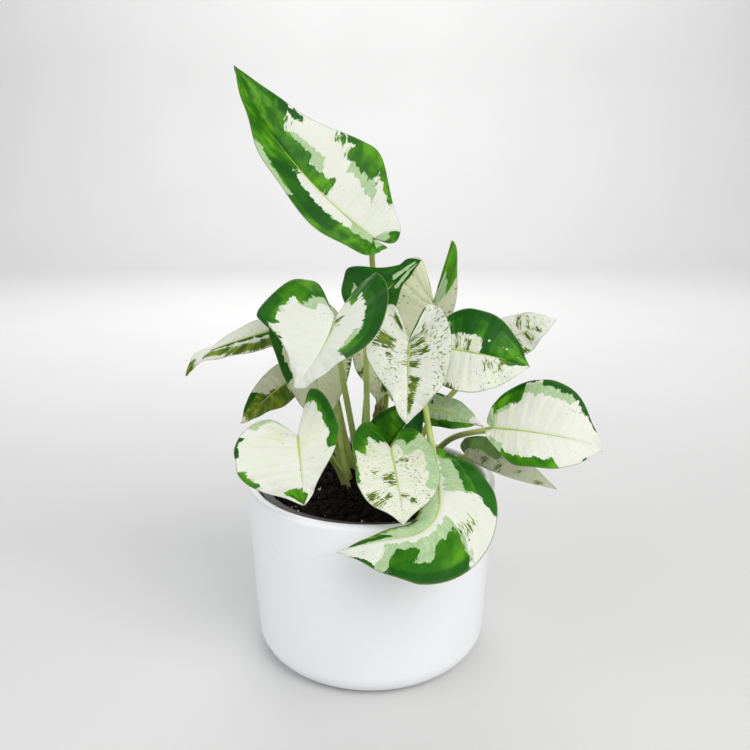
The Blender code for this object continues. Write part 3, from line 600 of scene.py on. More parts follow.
def blade_grid(leaf):
    """The blade's middle surface: places (mm), s, t, vein coordinates and paint on a (2, rows,
    columns) grid, flattened, with its triangles facing up on both halves."""
    rows, columns = BLADE_ROWS, BLADE_COLUMNS
    places = np.stack(blade_halves(leaf, rows, columns))
    s, t = np.broadcast_arrays(np.linspace(0, 1, rows + 1)[1:, None],
                               np.linspace(0, 1, columns)[None, :] ** VEIN_CROWDING)
    length = np.linalg.norm(np.subtract(leaf.tip, leaf.base))
    veins, paints = [], []
    for side, sign in ((0, -1), (1, 1)):
        half = half_width(leaf, side) * length
        veins.append(np.stack([s * MARGIN_LENGTH * length, sign * t * half, (1 - t) * half],
                              axis=-1))
        paints.append(painted(leaf, side, s, t))
    ids = np.arange(2 * rows * columns).reshape(2, rows, columns)
    quads = np.stack([ids[:, :-1, :-1], ids[:, 1:, :-1], ids[:, 1:, 1:], ids[:, :-1, 1:]], axis=-1)
    quads[1] = quads[1][..., ::-1]
    quads = quads.reshape(-1, 4)
    triangles = np.concatenate([quads[:, [0, 1, 2]], quads[:, [0, 2, 3]]])
    both = [np.stack([grid, grid]).reshape(-1) for grid in (s, t)]
    return (places.reshape(-1, 3), both[0], both[1], np.stack(veins).reshape(-1, 3),
            np.stack(paints).reshape(-1, 3), triangles)


def welded(places, triangles):
    """One point for those that coincide, and the triangles that keep three different corners."""
    _, first, index = np.unique(np.round(places, 4), axis=0, return_index=True, return_inverse=True)
    triangles = index.reshape(-1)[triangles]
    whole = ((triangles[:, 0] != triangles[:, 1]) & (triangles[:, 1] != triangles[:, 2])
             & (triangles[:, 0] != triangles[:, 2]))
    return first, triangles[whole]


def border_edges(triangles):
    """Directed edges that only one triangle has."""
    edges = np.concatenate([triangles[:, [0, 1]], triangles[:, [1, 2]], triangles[:, [2, 0]]])
    _, index, count = np.unique(np.sort(edges, axis=1), axis=0, return_inverse=True,
                                return_counts=True)
    return edges[count[index.reshape(-1)] == 1]


def blade_relief(settings, leaf, s, t, vein, seed):
    """Height of the upper surface (mm): waves grow with t^2 along the margin, the skin rises
    between side veins as |sin|^0.6, the midrib lies in a groove exp(-(x / width)^2), and slow
    sines make it uneven."""
    across = np.abs(vein[:, 1])
    phase = seed * 2.4
    wave = settings.wave * t**2 * (np.sin(2 * math.pi * 2.6 * s + phase)
                                   + 0.6 * np.sin(2 * math.pi * 5.3 * s + 2 * phase))
    between = np.abs(np.sin(math.pi * SIDE_VEINS * s + 0.6 * t))
    quilt = (settings.quilt * np.sin(math.pi * np.clip(t, 0, 1)) * (between**0.6 - 0.6)
             * ease((s - 0.1) / 0.2))
    groove = -settings.groove * np.exp(-((across / GROOVE_WIDTH) ** 2)) * ease((1 - s) / 0.2)
    slow = 0.35 * np.sin(vein[:, 0] * 0.11 + phase) * np.sin(vein[:, 1] * 0.17 + 2 * phase) * t
    return wave * ease(s / 0.25) + quilt + groove + slow


def make_blade(settings, leaf, seed, finish):
    """Close a blade: its middle surface is moved along its normals by the relief, then up and
    down by half a thickness that thins from the middle to the edge, and joined round the border."""
    places, s, t, vein, paint, triangles = blade_grid(leaf)
    first, triangles = welded(places, triangles)
    places, s, t, vein, paint = places[first], s[first], t[first], vein[first], paint[first]
    relief = blade_relief(settings, leaf, s, t, vein, seed)
    places = places + vertex_normals(places, triangles) * relief[:, None]
    normals = vertex_normals(places, triangles)
    half = (settings.edge + (settings.thickness - settings.edge) * ease((1 - t) / 0.5)) / 2
    upper, lower = places + normals * half[:, None], places - normals * half[:, None]
    count = len(places)
    rim = border_edges(triangles)
    a, b = rim[:, 0], rim[:, 1]
    wall = np.concatenate([np.stack([b, a, a + count], axis=1),
                           np.stack([b, a + count, b + count], axis=1)])
    faces = np.concatenate([triangles, triangles[:, ::-1] + count, wall])
    made = mesh_piece("blade_" + leaf.name, np.concatenate([upper, lower]), faces, finish)
    skin = np.tile(np.array(SKIN[leaf.name], float), (count, 1))
    skin[:, 1] *= np.exp(-((np.clip(s - 0.35, 0, 1) / 0.25) ** 2)) * (1 - 0.5 * t)
    flags = np.stack([vein[:, 2], np.abs(vein[:, 1]), np.zeros(count)], axis=1)
    under = flags + (0, 0, 1)
    coordinates = vein * (1, 1, 0) + (0, 0, BLADE_SEED_STEP * seed)
    for name, above, below in (("vein", coordinates, coordinates), ("paint", paint, paint),
                               ("skin", skin, skin), ("place", flags, under)):
        store(made, name, np.concatenate([above, below]))
    return made


def store(piece, name, values):
    """A vector attribute with one value for each point."""
    attribute = piece.data.attributes.new(name, "FLOAT_VECTOR", "POINT")
    attribute.data.foreach_set("vector", np.asarray(values, np.float32).reshape(-1))


def mesh_piece(name, points, faces, finish):
    """An object at the origin from points in millimetres and faces of equal size, smooth shaded."""
    mesh = bpy.data.meshes.new(name)
    count, sides = faces.shape
    mesh.vertices.add(len(points))
    mesh.vertices.foreach_set("co", (np.asarray(points) * MM).astype(np.float32).reshape(-1))
    mesh.loops.add(count * sides)
    mesh.loops.foreach_set("vertex_index", faces.astype(np.int32).reshape(-1))
    mesh.polygons.add(count)
    mesh.polygons.foreach_set("loop_start", np.arange(0, count * sides, sides, dtype=np.int32))
    mesh.polygons.foreach_set("loop_total", np.full(count, sides, dtype=np.int32))
    mesh.update(calc_edges=True)
    mesh.validate()
    mesh.shade_smooth()
    mesh.materials.append(finish)
    piece = bpy.data.objects.new(name, mesh)
    bpy.context.scene.collection.objects.link(piece)
    return piece


def settle(piece, slot, *nodes):
    """Tie a finished piece to the body and hide the nodes it stands for; its slot is not used."""
    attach(piece, BODY)
    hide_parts(*nodes)


def path_frames(path):
    """Side and up along a path: the side is carried from ring to ring without twist."""
    tangent = np.gradient(path, axis=0)
    tangent /= np.linalg.norm(tangent, axis=1, keepdims=True)
    side = np.zeros_like(path)
    side[0] = unit(np.cross(tangent[0], (0.13, 1.0, 0.21)))
    for i in range(1, len(path)):
        carried = side[i - 1] - tangent[i] * (side[i - 1] @ tangent[i])
        side[i] = carried / np.linalg.norm(carried)
    return side, np.cross(tangent, side)


def ring_faces(rings, sides):
    """Triangles of a closed body whose points are its rings in order and then one end point for
    the first and one for the last; corner i of a ring is joined to corner i + 1 of it and of the
    next ring."""
    i, j = np.meshgrid(np.arange(rings - 1), np.arange(sides), indexing="ij")
    k = (j + 1) % sides
    a, b, c, d = i * sides + j, i * sides + k, (i + 1) * sides + k, (i + 1) * sides + j
    around = np.arange(sides)
    after = (around + 1) % sides
    first_end, last = rings * sides, (rings - 1) * sides
    return np.concatenate([
        np.stack([a, b, c], axis=-1).reshape(-1, 3), np.stack([a, c, d], axis=-1).reshape(-1, 3),
        np.stack([np.full(sides, first_end), after, around], axis=1),
        np.stack([np.full(sides, first_end + 1), last + around, last + after], axis=1)])


def tube(path, radius, section):
    """A closed tube: ring i is path[i] + radius[i] * section[i, j] in the plane across the path,
    and a point on the path closes each end."""
    side, up = path_frames(path)
    rings = (path[:, None] + radius[:, None, None]
             * (section[..., :1] * side[:, None] + section[..., 1:] * up[:, None]))
    points = np.concatenate([rings.reshape(-1, 3), path[:1], path[-1:]])
    return points, ring_faces(*section.shape[:2])


def stalk_route(leaf, steps):
    """A cubic Bezier curve from the stalk's root to just under its blade."""
    rows, columns = 11, 4     # enough for the direction of the underside at the base
    left, right = blade_halves(leaf, rows, columns)
    row = rows // 2
    underside = -unit(np.cross(right[row, 1] - left[row, 1], right[row, 0] - right[0, 0]))
    lean = np.linalg.norm(unit(leaf.leave)[:2])
    root = np.array([*leaf.root, SOIL_TOP + STALK_GAP + STALK_RADIUS * lean + leaf.root_height])
    root[:2] += RIM_CENTRE[:2]
    end = np.array(leaf.base) + RIM_CENTRE + underside * STALK_CLEARANCE
    far = np.linalg.norm(end - root)
    near_root = root + unit(leaf.leave) * far * leaf.reach[0]
    near_end = end - unit(leaf.arrive) * far * leaf.reach[1]
    t = np.linspace(0.0, 1.0, steps + 1)[:, None]
    return ((1 - t) ** 3 * root + 3 * t * (1 - t) ** 2 * near_root
            + 3 * t * t * (1 - t) * near_end + t**3 * end)


def stalk_path(leaf):
    """The route with a sunk root, then on along the underside of the midrib as a tapering rib:
    its points, its radius as a share of the stalk's, and the ring where the rib starts."""
    route = stalk_route(leaf, STALK_RINGS)
    sunk = route[0] - unit(leaf.leave) * np.linspace(SUNK_DEPTH, 1.0, SUNK_RINGS)[:, None]
    rows, columns = 60, 6
    left, right = blade_halves(leaf, rows, columns)
    middle = right[:, 0]
    across = right[:, 2] - left[:, 2]
    keep = np.linalg.norm(middle - middle[0], axis=1) > RIB_START
    middle, across = middle[keep][:-1], across[keep][:-1]
    down = -np.cross(across, np.gradient(middle, axis=0))
    down /= np.linalg.norm(down, axis=1, keepdims=True)
    share = np.linspace(0, 1, len(middle))
    rib = middle + down * (0.55 - 0.35 * share)[:, None]
    rib = rib[share < RIB_SHARE]
    path = np.concatenate([sunk, route, rib])
    radius = np.concatenate([np.ones(SUNK_RINGS), np.linspace(1.0, STALK_TIP_SHARE, len(route)),
                             np.linspace(0.5, 0.1, len(rib))])
    return path, radius, len(route) + SUNK_RINGS


def make_stalk(settings, leaf, seed, finish):
    """A channelled tube: its section is a circle pushed in on its upper side by channel *
    exp(-(angle / 0.5)^2), and it swells where it meets the blade and where it leaves its root."""
    path, share, joint = stalk_path(leaf)
    index = np.arange(len(path))
    from_blade, from_root = (index - joint + 3) / 2.5, (index - SUNK_RINGS) / 3.0
    swell = 1 + 0.22 * np.exp(-(from_blade**2)) + 0.25 * np.exp(-(from_root**2))
    angle = np.linspace(0, 2 * math.pi, STALK_SIDES, endpoint=False)
    off = np.abs((angle - math.pi / 2 + math.pi) % (2 * math.pi) - math.pi)
    dent = 1 - settings.channel * np.exp(-((off / 0.5) ** 2))
    section = np.stack([np.cos(angle), np.sin(angle) * dent], axis=-1)
    section = np.broadcast_to(section, (len(path), *section.shape))
    points, faces = tube(path, share * swell * settings.radius, section)
    made = mesh_piece("petiole_" + leaf.name, points, faces, finish)
    along = np.concatenate([[0], np.cumsum(np.linalg.norm(np.diff(path, axis=0), axis=1))])
    place = seed * STALK_SEED_STEP
    run = np.stack([np.repeat(along, STALK_SIDES), np.tile(off, len(path)),
                    np.full(len(path) * STALK_SIDES, place)], axis=1)
    ends = np.array([[0, 1, place], [along[-1], 1, place]])
    store(made, "run", np.concatenate([run, ends]))
    return made


def make_stem(settings, name, foot, top, height, seed, finish):
    """A leaning rod from under the soil's surface: its radius swells at two nodes and ripples
    lightly, and its top closes in a dome."""
    u = np.linspace(-0.12, 1.0, STEM_RINGS)
    centre = RIM_CENTRE[:2]
    path = np.stack([centre[0] + foot[0] + (top[0] - foot[0]) * u,
                     centre[1] + foot[1] + (top[1] - foot[1]) * u, SOIL_TOP + height * u], axis=1)
    swell = sum(0.34 * np.exp(-(((u - node) / 0.05) ** 2)) for node in STEM_NODES)
    dome = np.sqrt(np.clip(1 - (np.clip(u - 0.93, 0, None) / 0.075) ** 2, 0.02, 1))
    radius = STEM_RADIUS * (1 + swell) * dome
    angle = np.linspace(0, 2 * math.pi, STEM_SIDES, endpoint=False)
    ripple = (1 + 0.05 * np.sin(5 * angle[None] + 3 * u[:, None] * 4 + seed)
              + 0.03 * np.sin(11 * angle[None] + seed))
    section = np.stack([np.cos(angle) * ripple, np.sin(angle) * ripple], axis=-1)
    points, faces = tube(path, radius, section)
    made = mesh_piece("vine_" + name, points, faces, finish)
    run = np.stack([np.repeat(u * height, STEM_SIDES), np.tile(angle, len(u)),
                    np.full(len(u) * STEM_SIDES, seed)], axis=1)
    store(made, "run", np.concatenate([run, run[:1], run[-1:]]))
    return made


def arc(centre, radius, start, end, steps):
    """Points (r, z) along an arc, from one angle to another."""
    angles = np.radians(np.linspace(start, end, steps + 1))
    return np.stack([centre[0] + radius * np.cos(angles),
                     centre[1] + radius * np.sin(angles)], axis=1)


def turned(name, profile, segments, finish):
    """A body turned about the pot's axis from (r, z) points whose first and last lie on the
    axis."""
    angle = np.linspace(0, 2 * math.pi, segments, endpoint=False)
    body = profile[1:-1]
    x, y = RIM_CENTRE[:2]
    rings = np.stack([x + body[:, :1] * np.cos(angle), y + body[:, :1] * np.sin(angle),
                      np.broadcast_to(body[:, 1:], (len(body), segments))], axis=-1)
    ends = np.array([[x, y, profile[0][1]], [x, y, profile[-1][1]]])
    points = np.concatenate([rings.reshape(-1, 3), ends])
    return mesh_piece(name, points, ring_faces(len(body), segments)[:, OTHER_WAY], finish)


def pot_profile(settings):
    """Inside of the floor, up the inner wall, over the rounded rim, down the tapered outside,
    round the foot and under it, with a shallow hollow inside a foot ring."""
    height = POT_HEIGHT
    rim, corner, foot = 2.0, 8.0, 13.0  # radii that round the rim, the inside's bottom and the foot

    def outer(z):
        """The outside's radius at a height."""
        return RIM_RADIUS - settings.taper * (1 - z / height)

    inner_low = outer(settings.floor) - settings.wall
    inner_high = RIM_RADIUS - settings.wall
    foot_radius = outer(foot)
    wall_up = np.linspace(settings.floor + corner + 2, height - 6, 12)
    wall_down = np.linspace(height - 6, foot + 3, 14)
    inner_edge = (inner_low + (inner_high - inner_low) * (wall_up - settings.floor - corner)
                  / (height - settings.floor - corner - 2))
    return np.concatenate([
        [(0.0, settings.floor)],
        arc((inner_low - corner, settings.floor + corner), corner, -90, 0, 12),
        np.stack([inner_edge, wall_up], axis=1),
        arc((inner_high + rim, height - rim), rim, 180, 90, 8),
        arc((RIM_RADIUS - rim, height - rim), rim, 90, 0, 8),
        np.stack([outer(wall_down), wall_down], axis=1),
        arc((foot_radius - foot, foot), foot, 0, -90, 16),
        [(foot_radius - inset, z) for inset, z in FOOT_RING],
        [(0.0, FOOT_RING[-1][1])]])


def smooth_noise(x, y, seed):
    """Uneven ground from about -1 to 1: six products of two crossed sines, each turned from the
    last, 1.75 times finer and 1.5 times lower."""
    total = np.zeros_like(x)
    for octave in range(6):
        angle = seed + 2.4 * octave
        pitch = 0.14 * 1.75**octave
        along = x * math.cos(angle) + y * math.sin(angle)
        aside = y * math.cos(angle) - x * math.sin(angle)
        total += (np.sin(pitch * along + 5 * seed + octave)
                  * np.sin(pitch * 1.13 * aside + 3 * seed) / 1.5**octave)
    return total / 2.2


def ground_level(settings, x, y):
    """Height of the soil's surface: its middle level plus relief times the smooth noise."""
    return SOIL_TOP - SOIL_SUNK + settings.relief * smooth_noise(x, y, SOIL_NOISE_SEED)


def make_soil(settings, finish):
    """A closed body: its top is a disc of rings raised by the uneven ground, its side follows
    the grower's pot down to a flat bottom."""
    rings, segments = 60, 220
    radius = np.linspace(0, 1, rings + 1)[1:, None] * SOIL_RADIUS
    angle = np.linspace(0, 2 * math.pi, segments, endpoint=False)[None]
    x, y = radius * np.cos(angle), radius * np.sin(angle)
    z = ground_level(settings, x, y) - 0.5 * ease((radius / SOIL_RADIUS - 0.9) / 0.1)
    low = np.stack([SOIL_TAPER * x[-1], SOIL_TAPER * y[-1], np.full(segments, SOIL_LOW[2])],
                   axis=-1)
    grid = np.concatenate([np.stack([x, y, z], axis=-1), low[None]])
    grid[..., :2] += RIM_CENTRE[:2]
    ends = np.array([[*RIM_CENTRE[:2], z[0].mean()], [*RIM_CENTRE[:2], SOIL_LOW[2]]])
    points = np.concatenate([grid.reshape(-1, 3), ends])
    return mesh_piece("ground", points, ring_faces(rings + 1, segments)[:, OTHER_WAY], finish)


def crumb_shape():
    """An icosahedron of radius 1: points (0, 1, golden) in all signs and turns, joined by 20
    triangles."""
    g = (1 + math.sqrt(5)) / 2
    points = np.array([(-1, g, 0), (1, g, 0), (-1, -g, 0), (1, -g, 0), (0, -1, g), (0, 1, g),
                       (0, -1, -g), (0, 1, -g), (g, 0, -1), (g, 0, 1), (-g, 0, -1), (-g, 0, 1)])
    points = points / math.hypot(1, g)
    faces = np.array([(0, 11, 5), (0, 5, 1), (0, 1, 7), (0, 7, 10), (0, 10, 11), (1, 5, 9),
                      (5, 11, 4), (11, 10, 2), (10, 7, 6), (7, 1, 8), (3, 9, 4), (3, 4, 2),
                      (3, 2, 6), (3, 6, 8), (3, 8, 9), (4, 9, 5), (2, 4, 11), (6, 2, 10),
                      (8, 6, 7), (9, 8, 1)])
    return points, faces


def make_crumbs(name, count, sizes, settings, seed, finish):
    """Many small lumps in one mesh: the crumb shape with each point pushed in or out, stretched,
    turned about Z and set half sunk on the uneven ground."""
    random = np.random.default_rng(seed)
    shape, faces = crumb_shape()
    radius = SOIL_RADIUS * 0.97 * np.sqrt(random.random(count))
    angle = random.random(count) * 2 * math.pi
    x, y = radius * np.cos(angle), radius * np.sin(angle)
    size = sizes[0] + (sizes[1] - sizes[0]) * random.random(count) ** 3
    lumps = shape[None] * (1 + 0.28 * random.standard_normal((count, len(shape), 1)))
    lumps = lumps * (size[:, None] * (0.7 + 0.6 * random.random((count, 3))))[:, None]
    spin = (rotation("z", random.random(count) * 2 * math.pi)
            @ rotation("x", random.random(count) * 2))
    lumps = np.einsum("nij,nkj->nki", spin, lumps)
    z = ground_level(settings, x, y) + 0.35 * size
    lumps += np.stack([x + RIM_CENTRE[0], y + RIM_CENTRE[1], z], axis=1)[:, None]
    faces = (faces[None] + len(shape) * np.arange(count)[:, None, None]).reshape(-1, 3)
    return mesh_piece(name, lumps.reshape(-1, 3), faces, finish)


class Shader:
    """A material's node tree, with short ways to add and join nodes."""

    def __init__(self, name, roughness, specular):
        self.material = bpy.data.materials.new(name)
        self.material.use_nodes = True
        self.tree = self.material.node_tree
        self.surface = self.tree.nodes["Principled BSDF"]
        self.surface.inputs["Roughness"].default_value = roughness
        self.surface.inputs["Specular IOR Level"].default_value = specular

    def node(self, kind, inputs=(), **values):
        """A node with its settings and inputs; an input is a socket, a number or a tuple."""
        made = self.tree.nodes.new(kind)
        for key, value in values.items():
            setattr(made, key, value)
        for key, value in dict(inputs).items():
            if isinstance(value, bpy.types.NodeSocket):
                self.tree.links.new(value, made.inputs[key])
            else:
                made.inputs[key].default_value = value
        return made

    def math(self, operation, a, b=0.0):
        """One number from two."""
        return self.node("ShaderNodeMath", {0: a, 1: b}, operation=operation).outputs[0]

    def times(self, a, b):
        """One number multiplied by another."""
        return self.math("MULTIPLY", a, b)

    def add(self, *terms):
        """The sum of several terms; a pair is a number and its weight."""
        numbers = [self.times(*term) if isinstance(term, tuple) else term for term in terms]
        total = numbers[0]
        for term in numbers[1:]:
            total = self.math("ADD", total, term)
        return total

    def scaled(self, vector, factors):
        """A vector with each part multiplied."""
        made = self.node("ShaderNodeVectorMath", {0: vector, 1: factors}, operation="MULTIPLY")
        return made.outputs[0]

    def attribute(self, name):
        """A vector attribute and its three parts."""
        made = self.node("ShaderNodeAttribute", attribute_name=name)
        parts = self.node("ShaderNodeSeparateXYZ", {0: made.outputs["Vector"]})
        return made.outputs["Vector"], parts.outputs[0], parts.outputs[1], parts.outputs[2]

    def noise(self, vector, scale=1.0, detail=3.0, roughness=0.55):
        """Noise around 0, mostly within 0.25 of it."""
        made = self.node("ShaderNodeTexNoise", {"Vector": vector, "Scale": scale,
                                                "Detail": detail, "Roughness": roughness})
        return self.math("SUBTRACT", made.outputs[0], 0.5)

    def step(self, value, low, high):
        """Smooth step from 0 at low to 1 at high."""
        made = self.node("ShaderNodeMapRange",
                         {"Value": value, "From Min": low, "From Max": high},
                         interpolation_type="SMOOTHSTEP")
        return made.outputs[0]

    def mix(self, factor, a, b):
        """Colour a turned into colour b by factor."""
        made = self.node("ShaderNodeMix", data_type="RGBA")
        for socket, value in ((made.inputs[0], factor), (made.inputs[6], a), (made.inputs[7], b)):
            if isinstance(value, bpy.types.NodeSocket):
                self.tree.links.new(value, socket)
            else:
                socket.default_value = value if isinstance(value, float) else (*value, 1.0)
        return made.outputs[2]

    def layer(self, base, colour, value, low, high, share=None):
        """A base colour with another laid over it as a value steps from low to high, by at most
        a share."""
        mask = self.step(value, low, high)
        return self.mix(mask if share is None else self.times(mask, share), base, colour)

    def colour(self, socket):
        """Use a colour for the surface."""
        self.tree.links.new(socket, self.surface.inputs["Base Color"])

    def rough(self, socket):
        """Use a number for the surface's roughness."""
        self.tree.links.new(socket, self.surface.inputs["Roughness"])

    def bump(self, height, distance, strength=1.0):
        """Raise the surface by a height."""
        made = self.node("ShaderNodeBump",
                         {"Height": height, "Distance": distance, "Strength": strength})
        self.tree.links.new(made.outputs[0], self.surface.inputs["Normal"])

    def object_place(self):
        """Object coordinates in metres."""
        return self.node("ShaderNodeTexCoord").outputs["Object"]


def blade_finish(settings):
    """Variegated leaf skin. Green and sage begin where their painted depth plus noise drawn out
    along the side veins passes 0, so that their edges run jagged; the pale ground carries blush,
    flecks, grey-green streaks of painted shade along its veins, and a duller tan painted as shade
    on blades that sit in shade."""
    made = Shader("variegated blade", 0.38, 0.14)
    vein, along, _, _ = made.attribute("vein")
    _, green, sage, tone = made.attribute("paint")
    _, flecks, blush, tan = made.attribute("skin")
    _, to_margin, to_rib, under = made.attribute("place")

    long_streaks = made.noise(made.scaled(vein, (0.34, 0.075, 1.0)), detail=4.0, roughness=0.58)
    fine_streaks = made.noise(made.scaled(vein, (2.3, 0.26, 1.0)), detail=3.0)
    cloud = made.noise(made.scaled(vein, (0.10, 0.07, 1.0)), detail=3.0)
    fringe_noise = made.noise(made.scaled(vein, (0.9, 0.13, 2.0)), detail=2.0)
    speckled = made.step(tone, -0.05, -0.9)
    jag = made.add((long_streaks, 2.1), (fine_streaks, 0.45),
                   (made.times(fine_streaks, 2.6), speckled))
    green_depth = made.add(green, jag)
    green_mask = made.step(green_depth, -0.03, 0.05)
    fringe = made.step(made.add(green_depth, (fringe_noise, 2.4)), 0.0, 0.12)
    sage_depth = made.add(sage, (jag, -0.8), (fringe_noise, 0.6))
    sage_mask = made.math("MAXIMUM", made.step(sage_depth, -0.03, 0.10), made.times(fringe, 0.55))

    marble = made.noise(made.scaled(vein, (0.35, 0.12, 7.0)), detail=4.0, roughness=0.6)
    spot = made.noise(made.scaled(vein, (1.9, 0.5, 3.0)), detail=2.5, roughness=0.5)
    crowd = made.noise(made.scaled(vein, (0.07, 0.07, 5.0)), detail=1.0)
    has_flecks = made.step(flecks, 0.02, 0.1)
    # Painted shade: blades that sit in shade have their pale ground turned towards the duller tan
    ground = made.mix(tan, settings.cream, settings.tan)
    # Painted shade: grey-green streaks along the veins stand in for the shade of the pale ground's
    # wrinkles
    ground = made.layer(ground, PAINTED_VEIN_SHADE, made.add(fine_streaks, (cloud, 0.8)), -0.25, 0.35, 0.16)
    ground = made.layer(ground, BLUSH, made.add(cloud, long_streaks), -0.2, 0.25,
                        made.times(blush, 0.55))
    ground = made.layer(ground, MARBLE, marble, -0.05, 0.2, made.times(flecks, 0.5))
    ground = made.layer(ground, FLECK, made.add(spot, (flecks, 0.10), (crowd, 0.35)),
                        0.225, 0.262, made.times(has_flecks, 0.75))
    sage_colour = made.layer(settings.sage, PALE_SAGE, fine_streaks, -0.15, 0.2)
    surface = made.mix(sage_mask, ground, sage_colour)

    mottle = made.add((long_streaks, 0.7), (cloud, 2.0))
    lit = made.layer(settings.green, LIT_GREEN, mottle, -0.25, 0.55)
    lit = made.layer(lit, DARK_GREEN, mottle, 0.35, -0.45)
    deep = made.layer(settings.deep, LIT_DEEP, mottle, -0.3, 0.6)
    lit = made.layer(lit, deep, tone, 0.05, 0.9)
    olive = made.layer(settings.olive, DARK_OLIVE, long_streaks, -0.16, 0.16)
    surface = made.mix(green_mask, surface, made.mix(speckled, lit, olive))

    surface = made.layer(surface, MIDRIB, to_rib, 0.5, 0.1, 0.2)
    surface = made.layer(surface, MARGIN, to_margin, 0.55, 0.1, 0.6)
    made.colour(made.mix(made.times(under, 0.34), surface, UNDERSIDE))
    made.rough(made.add(0.36, (long_streaks, 0.25), (under, 0.2)))
    ripple = made.math("SINE", made.add((along, 2.1), (cloud, 9.0)))
    height = made.add(long_streaks, (fine_streaks, 0.5), (ripple, 0.16), (green_mask, 0.12))
    made.bump(height, 0.0005, 0.55)
    return made.material


def stalk_finish(settings):
    """Stalk skin: streaks run along it, its upper side round the channel carries a painted
    highlight, and the root end is duller.
    """
    made = Shader("leaf stalk", 0.42, 0.45)
    run, along, off, _ = made.attribute("run")
    streak = made.noise(made.scaled(run, (0.05, 2.2, 1.0)), detail=4.0, roughness=0.6)
    blotch = made.noise(made.scaled(run, (0.10, 0.5, 1.0)), detail=2.0)
    base = made.layer(settings.colour, STALK_STREAK, streak, -0.25, 0.25)
    base = made.layer(base, STALK_BLOTCH, blotch, 0.0, 0.3)
    # Painted highlight: the upper side round the channel is turned paler, as if lit from above
    base = made.layer(base, STALK_TOP_HIGHLIGHT, off, 1.1, 0.3, 0.3)
    made.colour(made.layer(base, STALK_ROOT, along, 22.0, 2.0, 0.45))
    made.bump(streak, 0.0004, 0.5)
    return made.material


def stem_finish(settings):
    """Vine bark: brown-olive with long dark cracks, and paler rings of old leaf scars."""
    made = Shader("vine stem", 0.68, 0.3)
    run, along, _, _ = made.attribute("run")
    streak = made.noise(made.scaled(run, (0.18, 1.8, 1.0)), detail=5.0, roughness=0.65)
    base = made.layer(settings.stem, BARK_LIGHT, streak, -0.2, 0.25)
    base = made.layer(base, BARK_CRACK, streak, -0.08, -0.25)
    ring = made.math("SINE", made.times(along, 0.5))
    made.colour(made.layer(base, LEAF_SCAR, ring, 0.9, 1.0, 0.4))
    made.bump(streak, 0.001, 0.7)
    return made.material


def glaze_finish(settings):
    """Satin white glaze: a slow cloud of grey, fine pores, and a little unevenness in its gloss."""
    made = Shader("white glaze", 0.3, 0.5)
    place = made.object_place()
    cloud = made.noise(place, scale=14.0, detail=2.0)
    grain = made.noise(place, scale=900.0, detail=2.0)
    base = made.layer(settings.glaze, GLAZE_CLOUD, cloud, -0.3, 0.3)
    made.colour(made.layer(base, GLAZE_PORE, grain, 0.22, 0.3, 0.12))
    made.rough(made.add(0.3, (cloud, 0.2)))
    made.surface.inputs["Coat Weight"].default_value = 0.25
    made.surface.inputs["Coat Roughness"].default_value = 0.12
    made.bump(grain, 0.0002, 0.25)
    return made.material


def plastic_finish(settings):
    """Moulded black plastic: fine grain, faint vertical draw marks and dust in its pores."""
    made = Shader("black plastic", 0.5, 0.4)
    place = made.object_place()
    grain = made.noise(place, scale=1400.0, detail=2.0)
    draw = made.noise(made.scaled(place, (220.0, 220.0, 6.0)), detail=2.0)
    made.colour(made.layer(settings.plastic, PLASTIC_DUST, draw, 0.0, 0.3))
    made.rough(made.add(0.5, (grain, 0.5)))
    made.bump(made.add(grain, (draw, 0.5)), 0.0003, 0.4)
    return made.material


def soil_finish(settings):
    """Dark potting soil: black-brown peat with lighter fibres and a coarse grain."""
    made = Shader("potting soil", 0.95, 0.15)
    place = made.object_place()
    grain = made.noise(place, scale=520.0, detail=5.0, roughness=0.7)
    fibre = made.noise(made.scaled(place, (300.0, 900.0, 500.0)), detail=2.0)
    base = made.layer(settings.colour, PEAT_LIGHT, grain, -0.1, 0.3)
    made.colour(made.layer(base, PEAT_FIBRE, fibre, 0.17, 0.25))
    made.bump(grain, 0.002, 0.9)
    return made.material


def speck_finish():
    """White mineral specks: chalky, with grey pits."""
    made = Shader("mineral speck", 0.9, 0.2)
    pits = made.noise(made.object_place(), scale=2200.0, detail=3.0)
    made.colour(made.layer(MINERAL, MINERAL_PIT, pits, -0.1, 0.25))
    made.bump(pits, 0.0004, 0.8)
    return made.material


def floor_finish(settings):
    """Plain pale floor."""
    made = Shader("pale floor", 0.6, 0.25)
    cloud = made.noise(made.object_place(), scale=3.0, detail=2.0)
    duller = [0.97 * part for part in settings.floor]
    made.colour(made.layer(settings.floor, duller, cloud, -0.3, 0.3))
    return made.material


def make_floor(settings):
    """A plain sheet that runs flat under the pot and bends up far behind: y and z follow a
    quarter circle."""
    bend = arc((COVE_START, COVE_RADIUS), COVE_RADIUS, -90, 0, 23)
    line = np.concatenate([[(-FLOOR_REACH, 0.0)], bend, [(COVE_START + COVE_RADIUS, BACKDROP_TOP)]])
    x = np.array([-FLOOR_REACH, FLOOR_REACH])
    points = np.stack([np.repeat(x[None], len(line), 0), np.repeat(line[:, :1], 2, 1),
                       np.repeat(line[:, 1:], 2, 1)], axis=-1)
    i = np.arange(len(line) - 1) * 2
    faces = np.stack([i, i + 1, i + 3, i + 2], axis=1)
    floor = mesh_piece("floor", points.reshape(-1, 3) / MM, faces, floor_finish(settings))
    return floor


def area_light(name, place, aim, size, power, colour):
    """A square soft light that faces a point."""
    data = bpy.data.lights.new(name, "AREA")
    data.shape = "SQUARE"
    data.size = size
    data.energy = power
    data.color = colour
    light = bpy.data.objects.new(name, data)
    light.location = place
    light.rotation_euler = (Vector(aim) - Vector(place)).to_track_quat("-Z", "Y").to_euler()
    bpy.context.scene.collection.objects.link(light)
    return light


